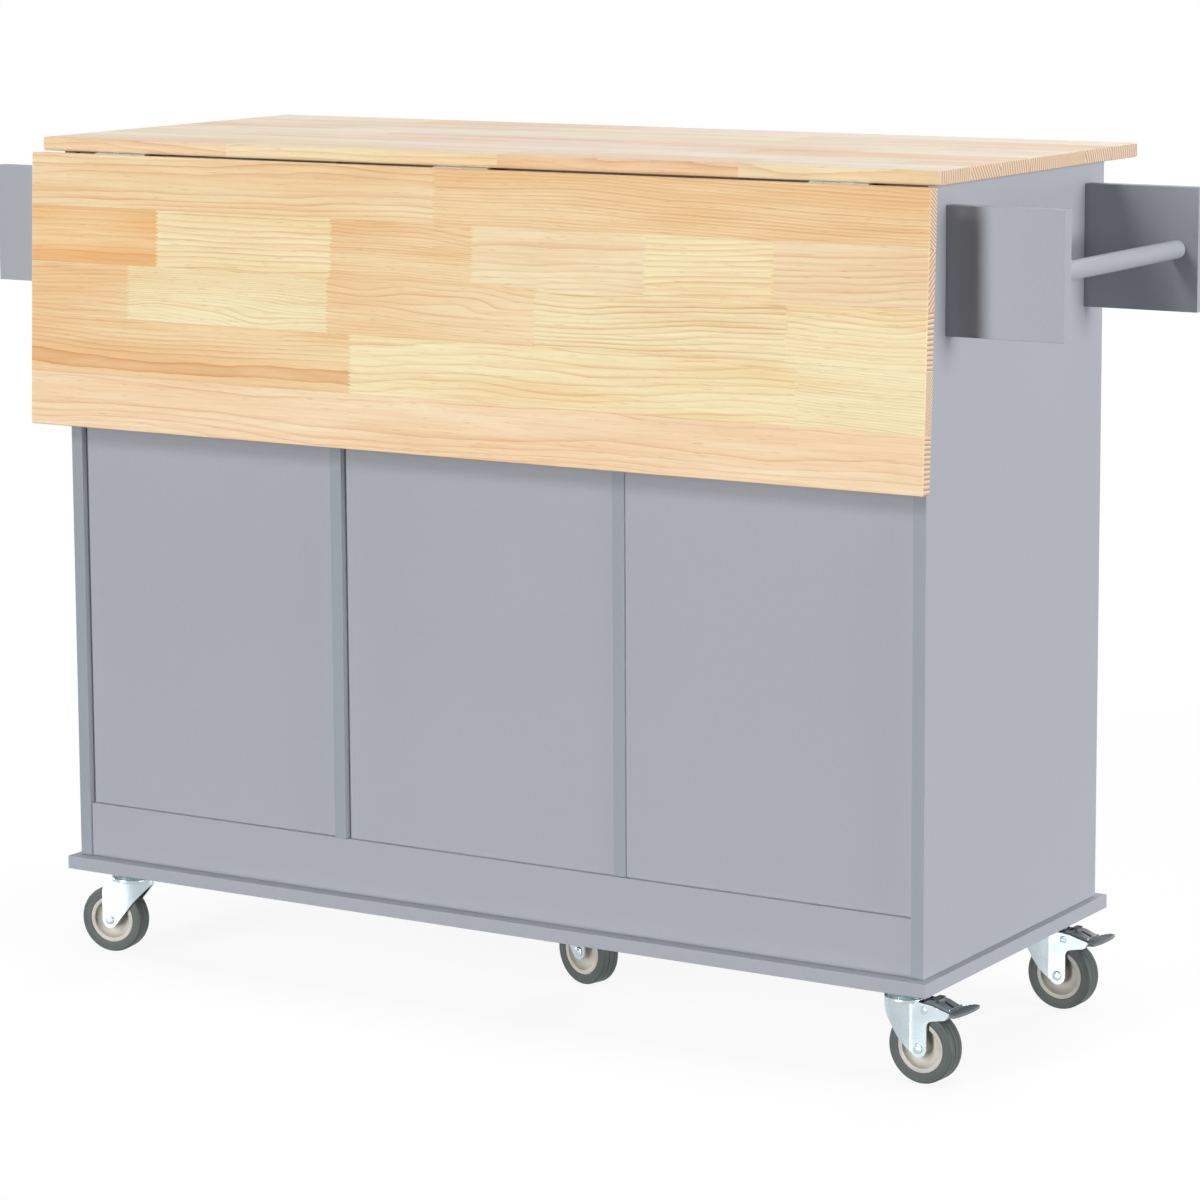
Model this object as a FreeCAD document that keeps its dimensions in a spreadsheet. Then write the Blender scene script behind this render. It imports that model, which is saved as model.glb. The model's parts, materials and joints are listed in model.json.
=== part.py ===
import FreeCAD, Part
import os
import re
import Sketcher

# Rolling kitchen island with a hinged drop leaf on its rear side, a towel bar on its
# right side, a spice rack on its left side, and drawers and doors at its front.
# X runs along the island, -Y is the leaf side, +Y the door side, Z is up from the floor.
# Lengths are in millimetres, and every name that ends in angle is in degrees.

SIZES = [
    # top and leaf
    ("top_long", 1120),
    ("top_deep", 464),
    ("top_thick", 15),
    ("top_high", 935),
    ("leaf_wide", 303),
    ("leaf_thick", 15),
    ("leaf_rise", 1.5),
    ("leaf_lean_angle", 2.5),
    # leaf hinges
    ("pin_out", 2.5),
    ("knuckle_rad", 2.8),
    ("hinge_pin_rad", 1.3),
    ("hinge_long", 68.6),
    ("hinge_plate_wide", 21),
    ("hinge_plate_thick", 1.2),
    ("hinge_notch", 0.6),
    ("hinge_spread", 449),
    ("knuckle_gap", 0.4),
    # base board and cabinet boards
    ("base_long", 1098),
    ("base_deep", 434),
    ("base_low", 100),
    ("base_thick", 15),
    ("case_long", 1080),
    ("case_deep", 410),
    ("case_set", 13),
    ("board_thick", 15),
    ("half_wall_set", 5.5),
    ("plinth_high", 61.5),
    ("rear_plinth_set", 2.5),
    ("panel_set", 7.5),
    ("panel_thick", 5),
    ("front_board_set", 20),
    ("rail_wide", 60),
    # towel and spice brackets
    ("bracket_out", 130),
    ("bracket_high", 131),
    ("bracket_drop", 23),
    ("bracket_rear_set", 39),
    ("bracket_front_set", 32.5),
    ("bar_rad", 9.8),
    ("bar_out", 106),
    ("spice_rail_rad", 6),
    ("spice_rail_lift", 58),
    ("spice_rail_in", 12),
    # doors and drawer fronts
    ("front_thick", 15),
    ("front_proud", 2.5),
    ("front_gap", 3),
    ("front_lift", 4),
    ("front_head", 3.5),
    ("stile_wide", 48),
    ("recess_deep", 4),
    ("pivot_in", 10),
    ("pivot_rad", 3),
    ("pivot_long", 11),
    ("collar_rad", 7),
    ("knob_rad", 15),
    ("knob_neck_rad", 6),
    ("knob_foot_rad", 9),
    ("knob_foot_thick", 3),
    ("knob_proud", 22),
    ("knob_dome", 7),
    ("door_knob_in", 24),
    ("door_knob_high", 560),
    # drawers
    ("drawer_deep", 350),
    ("drawer_high", 160),
    ("drawer_lift", 75),
    ("drawer_side_room", 12),
    ("drawer_wall", 10),
    ("drawer_floor", 5),
    ("drawer_floor_lift", 8),
    ("runner_thick", 1.5),
    ("runner_high", 30),
    ("runner_foot", 20),
    # shelves
    ("shelf_high", 540),
    ("shelf_side_gap", 1),
    ("shelf_front_set", 12),
    ("shelf_rear_gap", 3),
    ("shelf_pin_rad", 2.5),
    ("shelf_pin_long", 9),
    ("shelf_pin_in", 50),
    # folding brackets that hold the leaf up
    ("brace_spread", 280),
    ("brace_drop", 120),
    ("brace_long", 167.4),
    ("brace_wide", 9),
    ("brace_thick", 6),
    ("brace_out", 6.5),
    ("brace_pin_rad", 2),
    ("strip_wide", 22),
    ("strip_thick", 2),
    ("wall_strip_up", 40),
    ("wall_strip_down", 22),
    ("lug_thick", 2),
    ("lug_high", 14),
    ("leaf_strip_near", 86),
    ("leaf_strip_long", 62),
    ("stop_long", 6),
    ("stop_high", 5),
    ("stop_from", 90),
    # casters
    ("right_caster_x", 505),
    ("left_caster_x", 493),
    ("rear_caster_in", 46),
    ("front_caster_in", 62),
    ("middle_caster_in", 201),
    ("middle_caster_x", 8),
    ("rear_right_angle", -4.5),
    ("front_right_angle", -2),
    ("rear_left_angle", 189.5),
    ("front_left_angle", 186),
    ("middle_angle", -15.5),
    ("trail", 22),
    ("wheel_rad", 38),
    ("tyre_wide", 22),
    ("tyre_flat", 17.6),
    ("tyre_shoulder", 1.6),
    ("rim_rad", 26.8),
    ("rim_wide", 21),
    ("rim_lip", 4.6),
    ("web_thick", 6),
    ("hub_rad", 8),
    ("axle_rad", 3),
    ("axle_head_rad", 5.5),
    ("axle_head_thick", 2.4),
    ("fork_wide", 30),
    ("fork_thick", 2.5),
    ("fork_foot_rad", 9.3),
    ("fork_nose", 49),
    ("fork_nose_low", 78),
    ("fork_knee_back", 32),
    ("fork_knee_high", 53),
    ("crown_top", 87),
    ("race_rad", 24),
    ("race_neck_rad", 18),
    ("race_rise", 4),
    ("race_top", 94),
    ("kingpin_rad", 4),
    ("kingpin_head_rad", 6.5),
    ("kingpin_head_thick", 2.5),
    ("plate_size", 60),
    ("plate_thick", 2.5),
    ("screw_in", 8),
    ("screw_rad", 2.5),
    ("screw_head_rad", 4.5),
    ("screw_head_thick", 2.6),
    ("screw_long", 12),
    ("ear_tip", 37.2),
    ("ear_tip_high", 79.8),
    ("ear_low", 65),
    ("ear_low_end", 33),
    ("ear_low_end_high", 72.5),
    ("ear_top_back", 16),
    ("ear_top_high", 85.6),
    ("ear_crown_end", -2),
    ("pedal_slot_back", 2),
    ("pedal_pin_back", 7),
    ("pedal_pin_high", 79.5),
    ("pedal_pin_rad", 2),
    ("pedal_pin_head_rad", 4),
    ("pedal_pin_head_thick", 1.2),
    ("pedal_hub_rad", 3.6),
    ("pedal_reach", 35),
    ("pedal_wide", 52),
    ("pedal_block_wide", 12.6),
    ("pedal_shoe_wide", 18),
    ("pedal_groove_wide", 4),
    # clearances and cutting
    ("running_fit", 0.05),
    ("seat_gap", 0.3),
    ("side_gap", 0.4),
    ("bore_extra", 0.3),
    ("overrun", 20),
]

# Each worked value is a formula of sizes and of worked values above it.
WORKED = [
    ("top_low", "top_high - top_thick"),
    ("leaf_drop", "leaf_wide - leaf_rise"),
    ("leaf_out", "pin_out + (knuckle_rad + leaf_thick) * cos(leaf_lean_angle * 1deg)"
                 " + leaf_drop * sin(leaf_lean_angle * 1deg)"),
    ("top_rear", "(leaf_out - top_deep) / 2"),
    ("top_front", "(leaf_out + top_deep) / 2"),
    ("base_rear", "top_rear"),
    ("base_front", "base_rear + base_deep"),
    ("base_high", "base_low + base_thick"),
    ("case_half", "case_long / 2"),
    ("case_in", "case_half - board_thick"),
    ("case_rear", "base_rear + case_set"),
    ("case_front", "case_rear + case_deep"),
    ("floor_high", "base_high + plinth_high"),
    ("bay_wide", "(case_long - 4 * board_thick) / 3"),
    ("wall_in", "bay_wide / 2"),
    ("wall_out", "wall_in + board_thick"),
    ("board_front", "case_front - front_board_set"),
    ("panel_rear", "case_rear + panel_set"),
    ("panel_front", "panel_rear + panel_thick"),
    ("front_face", "case_front + front_proud"),
    ("front_rear", "front_face - front_thick"),
    ("front_low", "base_high + front_lift"),
    ("front_high", "top_low - front_head"),
    ("door_left", "front_gap - wall_in"),
    ("door_right", "case_in - front_gap"),
    ("door_wide", "(door_right - door_left - front_gap) / 2"),
    ("pivot_y", "front_face - front_thick / 2"),
    ("drawer_front_high", "(front_high - front_low - 2 * front_gap) / 3"),
    ("pin_y", "top_rear - pin_out"),
    ("pin_z", "top_low - knuckle_rad"),
    ("bracket_top", "top_low - bracket_drop"),
    ("bracket_low", "bracket_top - bracket_high"),
    ("bracket_mid", "bracket_low + bracket_high / 2"),
    ("bracket_tip", "case_half + bracket_out"),
    ("near_bracket_y", "case_rear + bracket_rear_set"),
    ("far_bracket_y", "case_front - bracket_front_set - board_thick"),
    ("crown_low", "crown_top - fork_thick"),
    ("fork_room", "fork_wide - 2 * fork_thick"),
    ("plate_low", "base_low - plate_thick"),
    ("brace_y", "panel_rear - strip_thick - brace_out"),
    ("brace_z", "pin_z - brace_drop"),
]

NAMES = {name for name, value in SIZES + WORKED}

doc = FreeCAD.newDocument("kitchen_island")
sheet = doc.addObject("Spreadsheet::Sheet", "Sizes")
sheet.set("A1", "name")
sheet.set("B1", "value")
for row, (name, value) in enumerate(SIZES, start=2):
    sheet.set("A%d" % row, name)
    sheet.set("B%d" % row, str(value))
    sheet.setAlias("B%d" % row, name)
for row, (name, formula) in enumerate(WORKED, start=2 + len(SIZES)):
    sheet.set("A%d" % row, name)
    sheet.set("B%d" % row, "=" + formula)
    sheet.setAlias("B%d" % row, name)
doc.recompute()

NODES = []


def bound(text):
    """The expression of an object that reads the sheet, from a formula of its names."""
    return re.sub(r"[a-z_]\w*", lambda m: ("Sizes." if m[0] in NAMES else "") + m[0], str(text))


def amount(text):
    """What such a formula comes to."""
    return float(sheet.evalExpression(bound(text)))


def bind(thing, **sizes):
    """Tie properties of an object to formulas."""
    for name, text in sizes.items():
        thing.setExpression(name, bound(text))


def place(thing, x=0, y=0, z=0, axis=None, angle=0):
    """Put an object at a point, turned about an axis by a formula in degrees."""
    turn = FreeCAD.Rotation()
    if axis:
        turn = FreeCAD.Rotation(FreeCAD.Vector(*axis), amount(angle))
    spot = FreeCAD.Vector(amount(x), amount(y), amount(z))
    thing.Placement = FreeCAD.Placement(spot, turn)
    bind(thing, **{"Placement.Base.x": x, "Placement.Base.y": y, "Placement.Base.z": z})
    if str(angle) in NAMES:
        bind(thing, **{"Placement.Rotation.Angle": angle})
    return thing


def box(name, x_low, x_high, y_low, y_high, z_low, z_high):
    """A board or block between two places along each axis."""
    board = doc.addObject("Part::Box", name)
    bind(board, Length="(%s) - (%s)" % (x_high, x_low))
    bind(board, Width="(%s) - (%s)" % (y_high, y_low))
    bind(board, Height="(%s) - (%s)" % (z_high, z_low))
    return place(board, x_low, y_low, z_low)


TURNS = {"X": ((0, 1, 0), 90), "Y": ((1, 0, 0), -90), "Z": (None, 0)}


def rod(name, along, radius, length, x, y, z):
    """A round bar that starts at a point and runs along an axis."""
    bar = doc.addObject("Part::Cylinder", name)
    bind(bar, Radius=radius, Height=length)
    axis, angle = TURNS[along]
    return place(bar, x, y, z, axis, angle)


def joined(name, pieces):
    """Overlapping solids made one."""
    whole = doc.addObject("Part::MultiFuse", name)
    whole.Shapes = pieces
    return whole


def group(name, pieces):
    """Separate solids kept together."""
    bundle = doc.addObject("Part::Compound", name)
    bundle.Links = pieces
    return bundle


def cut(name, piece, tools):
    """A solid less its tools."""
    left = doc.addObject("Part::Cut", name)
    left.Base = piece
    left.Tool = tools[0] if len(tools) == 1 else group(name + "_tools", tools)
    return left


def node(label, thing):
    """Name a finished sub-part."""
    thing.Label = label
    NODES.append(thing)
    return thing


def start_body(name):
    """An empty body and its origin planes and axes."""
    body = doc.addObject("PartDesign::Body", name)
    origin = {feature.Role: feature for feature in body.Origin.OriginFeatures}
    return body, origin


def start_sketch(body, plane):
    sketch = body.newObject("Sketcher::SketchObject", body.Name + "_sketch")
    sketch.AttachmentSupport = (plane, [""])
    sketch.MapMode = "FlatFace"
    return sketch


def polygon(body, plane, points):
    """A sketch of straight lines through points given by formulas."""
    sketch = start_sketch(body, plane)
    spots = [FreeCAD.Vector(amount(u), amount(v), 0) for u, v in points]
    count = len(spots)
    for index in range(count):
        line = Part.LineSegment(spots[index], spots[(index + 1) % count])
        sketch.addGeometry(line, False)
    for index in range(count):
        sketch.addConstraint(Sketcher.Constraint("Coincident", index, 2, (index + 1) % count, 1))
    for index, (u, v) in enumerate(points):
        for kind, text, value in (("DistanceX", u, spots[index].x), ("DistanceY", v, spots[index].y)):
            number = sketch.addConstraint(Sketcher.Constraint(kind, index, 1, value))
            sketch.setExpression("Constraints[%d]" % number, bound(text))
    return sketch


def circle(body, plane, u, v, radius):
    """A sketch of one circle given by formulas."""
    sketch = start_sketch(body, plane)
    middle = FreeCAD.Vector(amount(u), amount(v), 0)
    sketch.addGeometry(Part.Circle(middle, FreeCAD.Vector(0, 0, 1), amount(radius)), False)
    for kind, text, value in (("DistanceX", u, middle.x), ("DistanceY", v, middle.y)):
        number = sketch.addConstraint(Sketcher.Constraint(kind, 0, 3, value))
        sketch.setExpression("Constraints[%d]" % number, bound(text))
    number = sketch.addConstraint(Sketcher.Constraint("Radius", 0, amount(radius)))
    sketch.setExpression("Constraints[%d]" % number, bound(radius))
    return sketch


def both_ways(body, kind, sketch, length):
    """A pad or pocket that runs as far to each side of its sketch."""
    feature = body.newObject("PartDesign::" + kind, body.Name + "_" + kind.lower())
    feature.Profile = sketch
    feature.SideType = "Symmetric"
    bind(feature, Length=length)
    return feature


def turned(body, sketch, axis):
    """A full turn of a sketch about one of the body's own axes."""
    feature = body.newObject("PartDesign::Revolution", body.Name + "_turn")
    feature.Profile = sketch
    feature.ReferenceAxis = (axis, [""])
    feature.Angle = 360
    return feature


# The wooden top and the cabinet's boards

def make_cabinet():
    half_top = "top_long / 2"
    half_base = "base_long / 2"
    node("tabletop", box("top", "-" + half_top, half_top, "top_rear", "top_front", "top_low", "top_high"))
    board = box("base", "-" + half_base, half_base, "base_rear", "base_front", "base_low", "base_high")
    holes = [
        rod("base_hole", "Z", "screw_rad + running_fit", "screw_long + bore_extra", x, y, "base_low")
        for x, y in screw_places()
    ]
    node("base_board", cut("drilled_base", board, holes))
    sides = (("left_side_panel", "-case_half", "-case_in"), ("right_side_panel", "case_in", "case_half"))
    for label, low, high in sides:
        node(label, box("side", low, high, "case_rear", "case_front", "base_high", "top_low"))
    node("left_partition", box("wall", "-wall_out", "-wall_in", "case_rear", "case_front",
                               "floor_high", "top_low"))
    node("right_partition", box("wall", "wall_in", "wall_out", "case_rear + half_wall_set", "board_front",
                                "floor_high", "top_low"))
    plinth_rear = "case_rear + rear_plinth_set"
    plinth_front = plinth_rear + " + board_thick"
    node("back_plinth", box("plinth", "-case_in", "case_in", plinth_rear, plinth_front,
                            "base_high", "floor_high"))
    node("floor_panel", box("floor", "-case_in", "case_in", plinth_front, "board_front",
                            "floor_high - board_thick", "floor_high"))
    node("front_plinth", box("kick", "-case_in", "case_in", "board_front - board_thick", "board_front",
                             "base_high", "floor_high - board_thick"))
    bays = (("-case_in", "-wall_out"), ("-wall_in", "wall_in"), ("wall_out", "case_in"))
    panels = []
    rails = []
    for low, high in bays:
        panels.append(box("panel", low, high, "panel_rear", "panel_front", "floor_high", "top_low"))
        for y_low, y_high in (("panel_front", "panel_front + rail_wide"),
                              ("board_front - rail_wide", "board_front")):
            rails.append(box("rail", low, high, y_low, y_high, "top_low - board_thick", "top_low"))
    node("back_panels", group("panels", panels))
    node("top_rails", group("rails", rails))


def screw_places():
    """Where the screws of every caster plate go, in the base's own plane."""
    reach = "(plate_size / 2 - screw_in)"
    return [
        ("%s + %s * %s" % (x, a, reach), "%s + %s * %s" % (y, b, reach))
        for name, x, y, angle, braked in CASTERS
        for a in ("1", "-1")
        for b in ("1", "-1")
    ]


# The two side racks

def make_racks():
    for label, low, high in (("towel_brackets", "case_half", "bracket_tip"),
                             ("spice_brackets", "-bracket_tip", "-case_half")):
        boards = [
            box("bracket", low, high, y, y + " + board_thick", "bracket_low", "bracket_top")
            for y in ("near_bracket_y", "far_bracket_y")
        ]
        node(label, group(label + "_pair", boards))
    start = "near_bracket_y + board_thick"
    span = "far_bracket_y - near_bracket_y - board_thick"
    node("towel_bar", rod("bar", "Y", "bar_rad", span, "case_half + bar_out", start, "bracket_mid"))
    node("spice_shelf", box("spice_board", "-bracket_tip", "-case_half", start, "far_bracket_y",
                            "bracket_low", "bracket_low + board_thick"))
    node("spice_rail", rod("spice_rod", "Y", "spice_rail_rad", span, "spice_rail_in - bracket_tip", start,
                           "bracket_low + spice_rail_lift"))


# The drop leaf, its hinges and its folding brackets

def make_leaf():
    body, origin = start_body("leaf")
    sketch = polygon(body, origin["YZ_Plane"], [
        ("-knuckle_rad - leaf_thick", "-leaf_drop"),
        ("-knuckle_rad", "-leaf_drop"),
        ("-knuckle_rad", "leaf_rise"),
        ("-knuckle_rad - leaf_thick", "leaf_rise"),
    ])
    both_ways(body, "Pad", sketch, "top_long")
    node("drop_leaf", place(body, 0, "pin_y", "pin_z", (1, 0, 0), "-leaf_lean_angle"))
    bind(body, **{"Placement.Rotation.Angle": "-leaf_lean_angle"})


def knuckled_plate(middle, first, plate_spans):
    """A hinge plate with every other knuckle, about a pin on the X axis."""
    step = "hinge_long / 4"
    neck_end = "knuckle_rad + hinge_notch"
    y_low, y_high, z_low, z_high = plate_spans(neck_end, "hinge_plate_wide")
    x_low = "%s - hinge_long / 2" % middle
    pieces = [box("plate", x_low, "%s + hinge_long / 2" % middle, y_low, y_high, z_low, z_high)]
    for number in (first, first + 2):
        low = "%s + %d * %s + knuckle_gap / 2" % (x_low, number, step)
        high = "%s + %d * %s - knuckle_gap / 2" % (x_low, number + 1, step)
        y_low, y_high, z_low, z_high = plate_spans("0", neck_end)
        pieces.append(box("neck", low, high, y_low, y_high, z_low, z_high))
        pieces.append(rod("knuckle", "X", "knuckle_rad", step + " - knuckle_gap", low, 0, 0))
    bore = rod("pin_bore", "X", "hinge_pin_rad + running_fit", "hinge_long + 2 * overrun",
               x_low + " - overrun", 0, 0)
    return cut("knuckled", joined("plate_and_knuckles", pieces), [bore])


def make_hinges():
    def on_table(near, far):
        return near, far, "knuckle_rad - hinge_plate_thick", "knuckle_rad"

    def on_leaf(near, far):
        return "-knuckle_rad", "hinge_plate_thick - knuckle_rad", "-(%s)" % far, "-(%s)" % near

    middles = ("-hinge_spread", "0", "hinge_spread")
    table = group("table_plates", [knuckled_plate(middle, 1, on_table) for middle in middles])
    node("leaf_hinge_table_plates", place(table, 0, "pin_y", "pin_z"))
    leaf = group("leaf_plates", [knuckled_plate(middle, 0, on_leaf) for middle in middles])
    node("leaf_hinge_leaf_plates", place(leaf, 0, "pin_y", "pin_z", (1, 0, 0), "-leaf_lean_angle"))
    bind(leaf, **{"Placement.Rotation.Angle": "-leaf_lean_angle"})
    pins = [
        rod("hinge_pin", "X", "hinge_pin_rad", "hinge_long", middle + " - hinge_long / 2", "pin_y", "pin_z")
        for middle in middles
    ]
    node("leaf_hinge_pins", group("hinge_pins", pins))


def make_folding_brackets():
    middles = ("-brace_spread", "brace_spread")
    walls = []
    braces = []
    for middle in middles:
        inner = "brace_wide / 2 + side_gap"
        outer = inner + " + lug_thick"
        pieces = [box("strip", middle + " - strip_wide / 2", middle + " + strip_wide / 2",
                      "panel_rear - strip_thick", "panel_rear",
                      "brace_z - wall_strip_down", "brace_z + wall_strip_up")]
        for low, high in (("-(%s)" % outer, "-(%s)" % inner), (inner, outer)):
            pieces.append(box("lug", "%s + %s" % (middle, low), "%s + %s" % (middle, high),
                              "brace_y - lug_high / 4", "panel_rear - strip_thick / 2",
                              "brace_z - lug_high / 2", "brace_z + lug_high / 2"))
        pieces.append(rod("brace_pin", "X", "brace_pin_rad", "2 * (%s)" % outer,
                          "%s - (%s)" % (middle, outer), "brace_y", "brace_z"))
        walls.append(joined("wall_arm", pieces))
        half = "brace_wide / 2"
        low = "%s - %s" % (middle, half)
        bar = joined("brace_bar", [
            box("brace_flat", low, "%s + %s" % (middle, half), "brace_y - brace_thick / 2",
                "brace_y + brace_thick / 2", "brace_z - brace_long", "brace_z"),
            rod("brace_eye", "X", "brace_thick / 2 + running_fit", "brace_wide", low, "brace_y", "brace_z"),
        ])
        bore = rod("brace_bore", "X", "brace_pin_rad + running_fit", "brace_wide + 2 * overrun",
                   low + " - overrun", "brace_y", "brace_z")
        braces.append(cut("brace", bar, [bore]))
    node("fold_bracket_wall_arms", group("wall_arms", walls))
    node("fold_bracket_braces", group("braces", braces))
    arms = []
    for middle in middles:
        face = "-knuckle_rad"
        pieces = [
            box("leaf_strip", middle + " - strip_wide / 2", middle + " + strip_wide / 2",
                face, "strip_thick - knuckle_rad", "-leaf_strip_near - leaf_strip_long", "-leaf_strip_near"),
            box("stop", middle + " - strip_wide / 2", middle + " + strip_wide / 2",
                "strip_thick / 2 - knuckle_rad", "strip_thick + stop_high - knuckle_rad",
                "-stop_from - stop_long", "-stop_from"),
        ]
        arms.append(joined("leaf_arm", pieces))
    bundle = group("leaf_arms", arms)
    node("fold_bracket_leaf_arms", place(bundle, 0, "pin_y", "pin_z", (1, 0, 0), "-leaf_lean_angle"))
    bind(bundle, **{"Placement.Rotation.Angle": "-leaf_lean_angle"})


# Doors, drawers and shelves

def front_board(name, x_low, x_high, z_low, z_high, bores=()):
    """A framed front: a board with a shallow sunk field in its face."""
    board = box(name, x_low, x_high, "front_rear", "front_face", z_low, z_high)
    field = box(name + "_field", x_low + " + stile_wide", x_high + " - stile_wide",
                "front_face - recess_deep", "front_face + overrun",
                z_low + " + stile_wide", z_high + " - stile_wide")
    return cut(name + "_cut", board, [field] + list(bores))


def make_knob(label, x, z, sunk="0"):
    """A mushroom knob on a front's face."""
    foot_y = "front_face - (%s)" % sunk
    foot = rod("knob_foot", "Y", "knob_foot_rad", "knob_foot_thick", x, foot_y, z)
    neck = rod("knob_neck", "Y", "knob_neck_rad", "knob_proud - knob_dome", x, foot_y, z)
    head = doc.addObject("Part::Ellipsoid", "knob_head")
    bind(head, Radius1="knob_dome", Radius2="knob_rad", Radius3="knob_rad")
    axis, angle = TURNS["Y"]
    place(head, x, foot_y + " + knob_proud - knob_dome", z, axis, angle)
    node(label, joined(label + "_solid", [foot, neck, head]))


def make_doors():
    pins = []
    doors = (
        ("middle_door", "door_left", "door_left + door_wide", "door_left + pivot_in",
         "door_left + door_wide - door_knob_in"),
        ("right_door", "door_right - door_wide", "door_right", "door_right - pivot_in",
         "door_right - door_wide + door_knob_in"),
    )
    for label, low, high, pivot, knob in doors:
        bores = [
            rod("pivot_bore", "Z", "pivot_rad + running_fit", "pivot_long + bore_extra + overrun",
                pivot, "pivot_y", z)
            for z in ("front_low - overrun", "front_high - pivot_long - bore_extra")
        ]
        node(label, front_board(label + "_slab", low, high, "front_low", "front_high", bores))
        make_knob(label + "_knob", knob, "door_knob_high")
        lower = [
            rod("pivot_pin", "Z", "pivot_rad", "front_lift + pivot_long", pivot, "pivot_y", "base_high"),
            rod("collar", "Z", "collar_rad", "front_lift - seat_gap", pivot, "pivot_y", "base_high"),
        ]
        upper = [
            rod("pivot_pin", "Z", "pivot_rad", "front_head + pivot_long",
                pivot, "pivot_y", "front_high - pivot_long"),
            rod("collar", "Z", "collar_rad", "front_head - seat_gap",
                pivot, "pivot_y", "front_high + seat_gap"),
        ]
        pins.append(joined("lower_pivot", lower))
        pins.append(joined("upper_pivot", upper))
    node("door_pivots", group("pivots", pins))


def make_drawers():
    runners = []
    low = "front_gap - case_in"
    high = "-wall_out - front_gap"
    for number in (1, 2, 3):
        base = "front_low + %d * (drawer_front_high + front_gap)" % (number - 1)
        top = base + " + drawer_front_high"
        label = "drawer_%d" % number
        node(label + "_front", front_board(label + "_slab", low, high, base, top))
        make_knob(label + "_knob", "-(case_in + wall_out) / 2", base + " + drawer_front_high / 2",
                  "recess_deep")
        box_low = base + " + drawer_lift"
        box_high = box_low + " + drawer_high"
        left = "drawer_side_room - case_in"
        right = "-wall_out - drawer_side_room"
        rear = "front_rear - drawer_deep"
        walls = [
            box("drawer_side", left, left + " + drawer_wall", rear, "front_rear", box_low, box_high),
            box("drawer_side", right + " - drawer_wall", right, rear, "front_rear", box_low, box_high),
            box("drawer_back", left + " + drawer_wall", right + " - drawer_wall",
                rear, rear + " + drawer_wall", box_low, box_high),
            box("drawer_inner_front", left + " + drawer_wall", right + " - drawer_wall",
                "front_rear - drawer_wall", "front_rear", box_low, box_high),
            box("drawer_bottom", left + " + drawer_wall", right + " - drawer_wall",
                rear + " + drawer_wall", "front_rear - drawer_wall",
                box_low + " + drawer_floor_lift", box_low + " + drawer_floor_lift + drawer_floor"),
        ]
        node(label + "_box", group(label + "_walls", walls))
        foot_high = box_low + " - seat_gap"
        foot_low = foot_high + " - runner_thick"
        for wall, leg, foot in (
            ("-case_in", "runner_thick - case_in", "runner_foot - case_in"),
            ("-wall_out", "-wall_out - runner_thick", "-wall_out - runner_foot"),
        ):
            inward = wall == "-case_in"
            upright = (wall, leg) if inward else (leg, wall)
            flat = (wall, foot) if inward else (foot, wall)
            runners.append(joined("runner", [
                box("runner_leg", upright[0], upright[1], rear, "board_front",
                    foot_low, foot_low + " + runner_high"),
                box("runner_flat", flat[0], flat[1], rear, "board_front", foot_low, foot_high),
            ]))
    node("drawer_runners", group("runners", runners))


def make_shelves():
    shelves = []
    pins = []
    for low, high in (("-wall_in", "wall_in"), ("wall_out", "case_in")):
        shelves.append(box("shelf", low + " + shelf_side_gap", high + " - shelf_side_gap",
                           "panel_front + shelf_rear_gap", "board_front - shelf_front_set",
                           "shelf_high", "shelf_high + board_thick"))
        for x in (low, high + " - shelf_pin_long"):
            for y in ("panel_front + shelf_pin_in", "board_front - shelf_pin_in"):
                pins.append(rod("shelf_pin", "X", "shelf_pin_rad", "shelf_pin_long",
                                x, y, "shelf_high - shelf_pin_rad"))
    node("bay_shelves", group("shelves", shelves))
    node("shelf_pins", group("pins", pins))


# Swivel casters: each stands at its own spot and trails its own way

CASTERS = [
    ("rear_right", "right_caster_x", "base_rear + rear_caster_in", "rear_right_angle", True),
    ("front_right", "right_caster_x", "base_front - front_caster_in", "front_right_angle", True),
    ("rear_left", "-left_caster_x", "base_rear + rear_caster_in", "rear_left_angle", False),
    ("front_left", "-left_caster_x", "base_front - front_caster_in", "front_left_angle", False),
    ("middle", "middle_caster_x", "base_rear + middle_caster_in", "middle_angle", False),
]

FORK_OUTLINE = [
    ("trail + fork_foot_rad", "wheel_rad"),
    ("trail + fork_foot_rad", "crown_top"),
    ("trail - fork_nose", "crown_top"),
    ("trail - fork_nose", "fork_nose_low"),
    ("trail - fork_foot_rad", "wheel_rad"),
]

BRAKED_FORK_OUTLINE = [
    ("trail + fork_foot_rad", "wheel_rad"),
    ("trail + fork_foot_rad", "ear_low"),
    ("trail + ear_low_end", "ear_low_end_high"),
    ("trail + ear_tip", "ear_tip_high"),
    ("trail + ear_top_back", "ear_top_high"),
    ("trail + ear_crown_end", "crown_top"),
    ("trail - fork_nose", "crown_top"),
    ("trail - fork_nose", "fork_nose_low"),
    ("trail - fork_knee_back", "fork_knee_high"),
    ("trail - fork_foot_rad", "wheel_rad"),
]

# The pedal is drawn from its pin: places back and up in shares of its reach.
LEVER_SHARES = [
    (-0.1, 0.09), (-0.05, 0.23), (0.07, 0.28), (0.42, 0.235), (0.815, 0.083),
    (0.92, 0.083), (0.92, -0.003), (0.7, -0.025), (0.32, 0), (0.14, -0.075), (0.06, -0.08),
]
BLOCK_SHARES = [(0.1, 0.25), (0.135, 0.345), (0.37, 0.31), (0.4, 0.22), (0.1, 0.2)]
SHOE_SHARES = [(0.31, 0.03), (0.69, 0), (0.67, -0.215), (0.615, -0.27), (0.34, -0.095)]
GROOVE_SHARES = [(0.44, 0.03), (0.77, 0.03), (0.77, 0.4), (0.44, 0.4)]
TREAD_SHARES = [(0.883, -0.003), (1.286, -0.003), (1.286, 0.083), (0.883, 0.083)]

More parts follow.
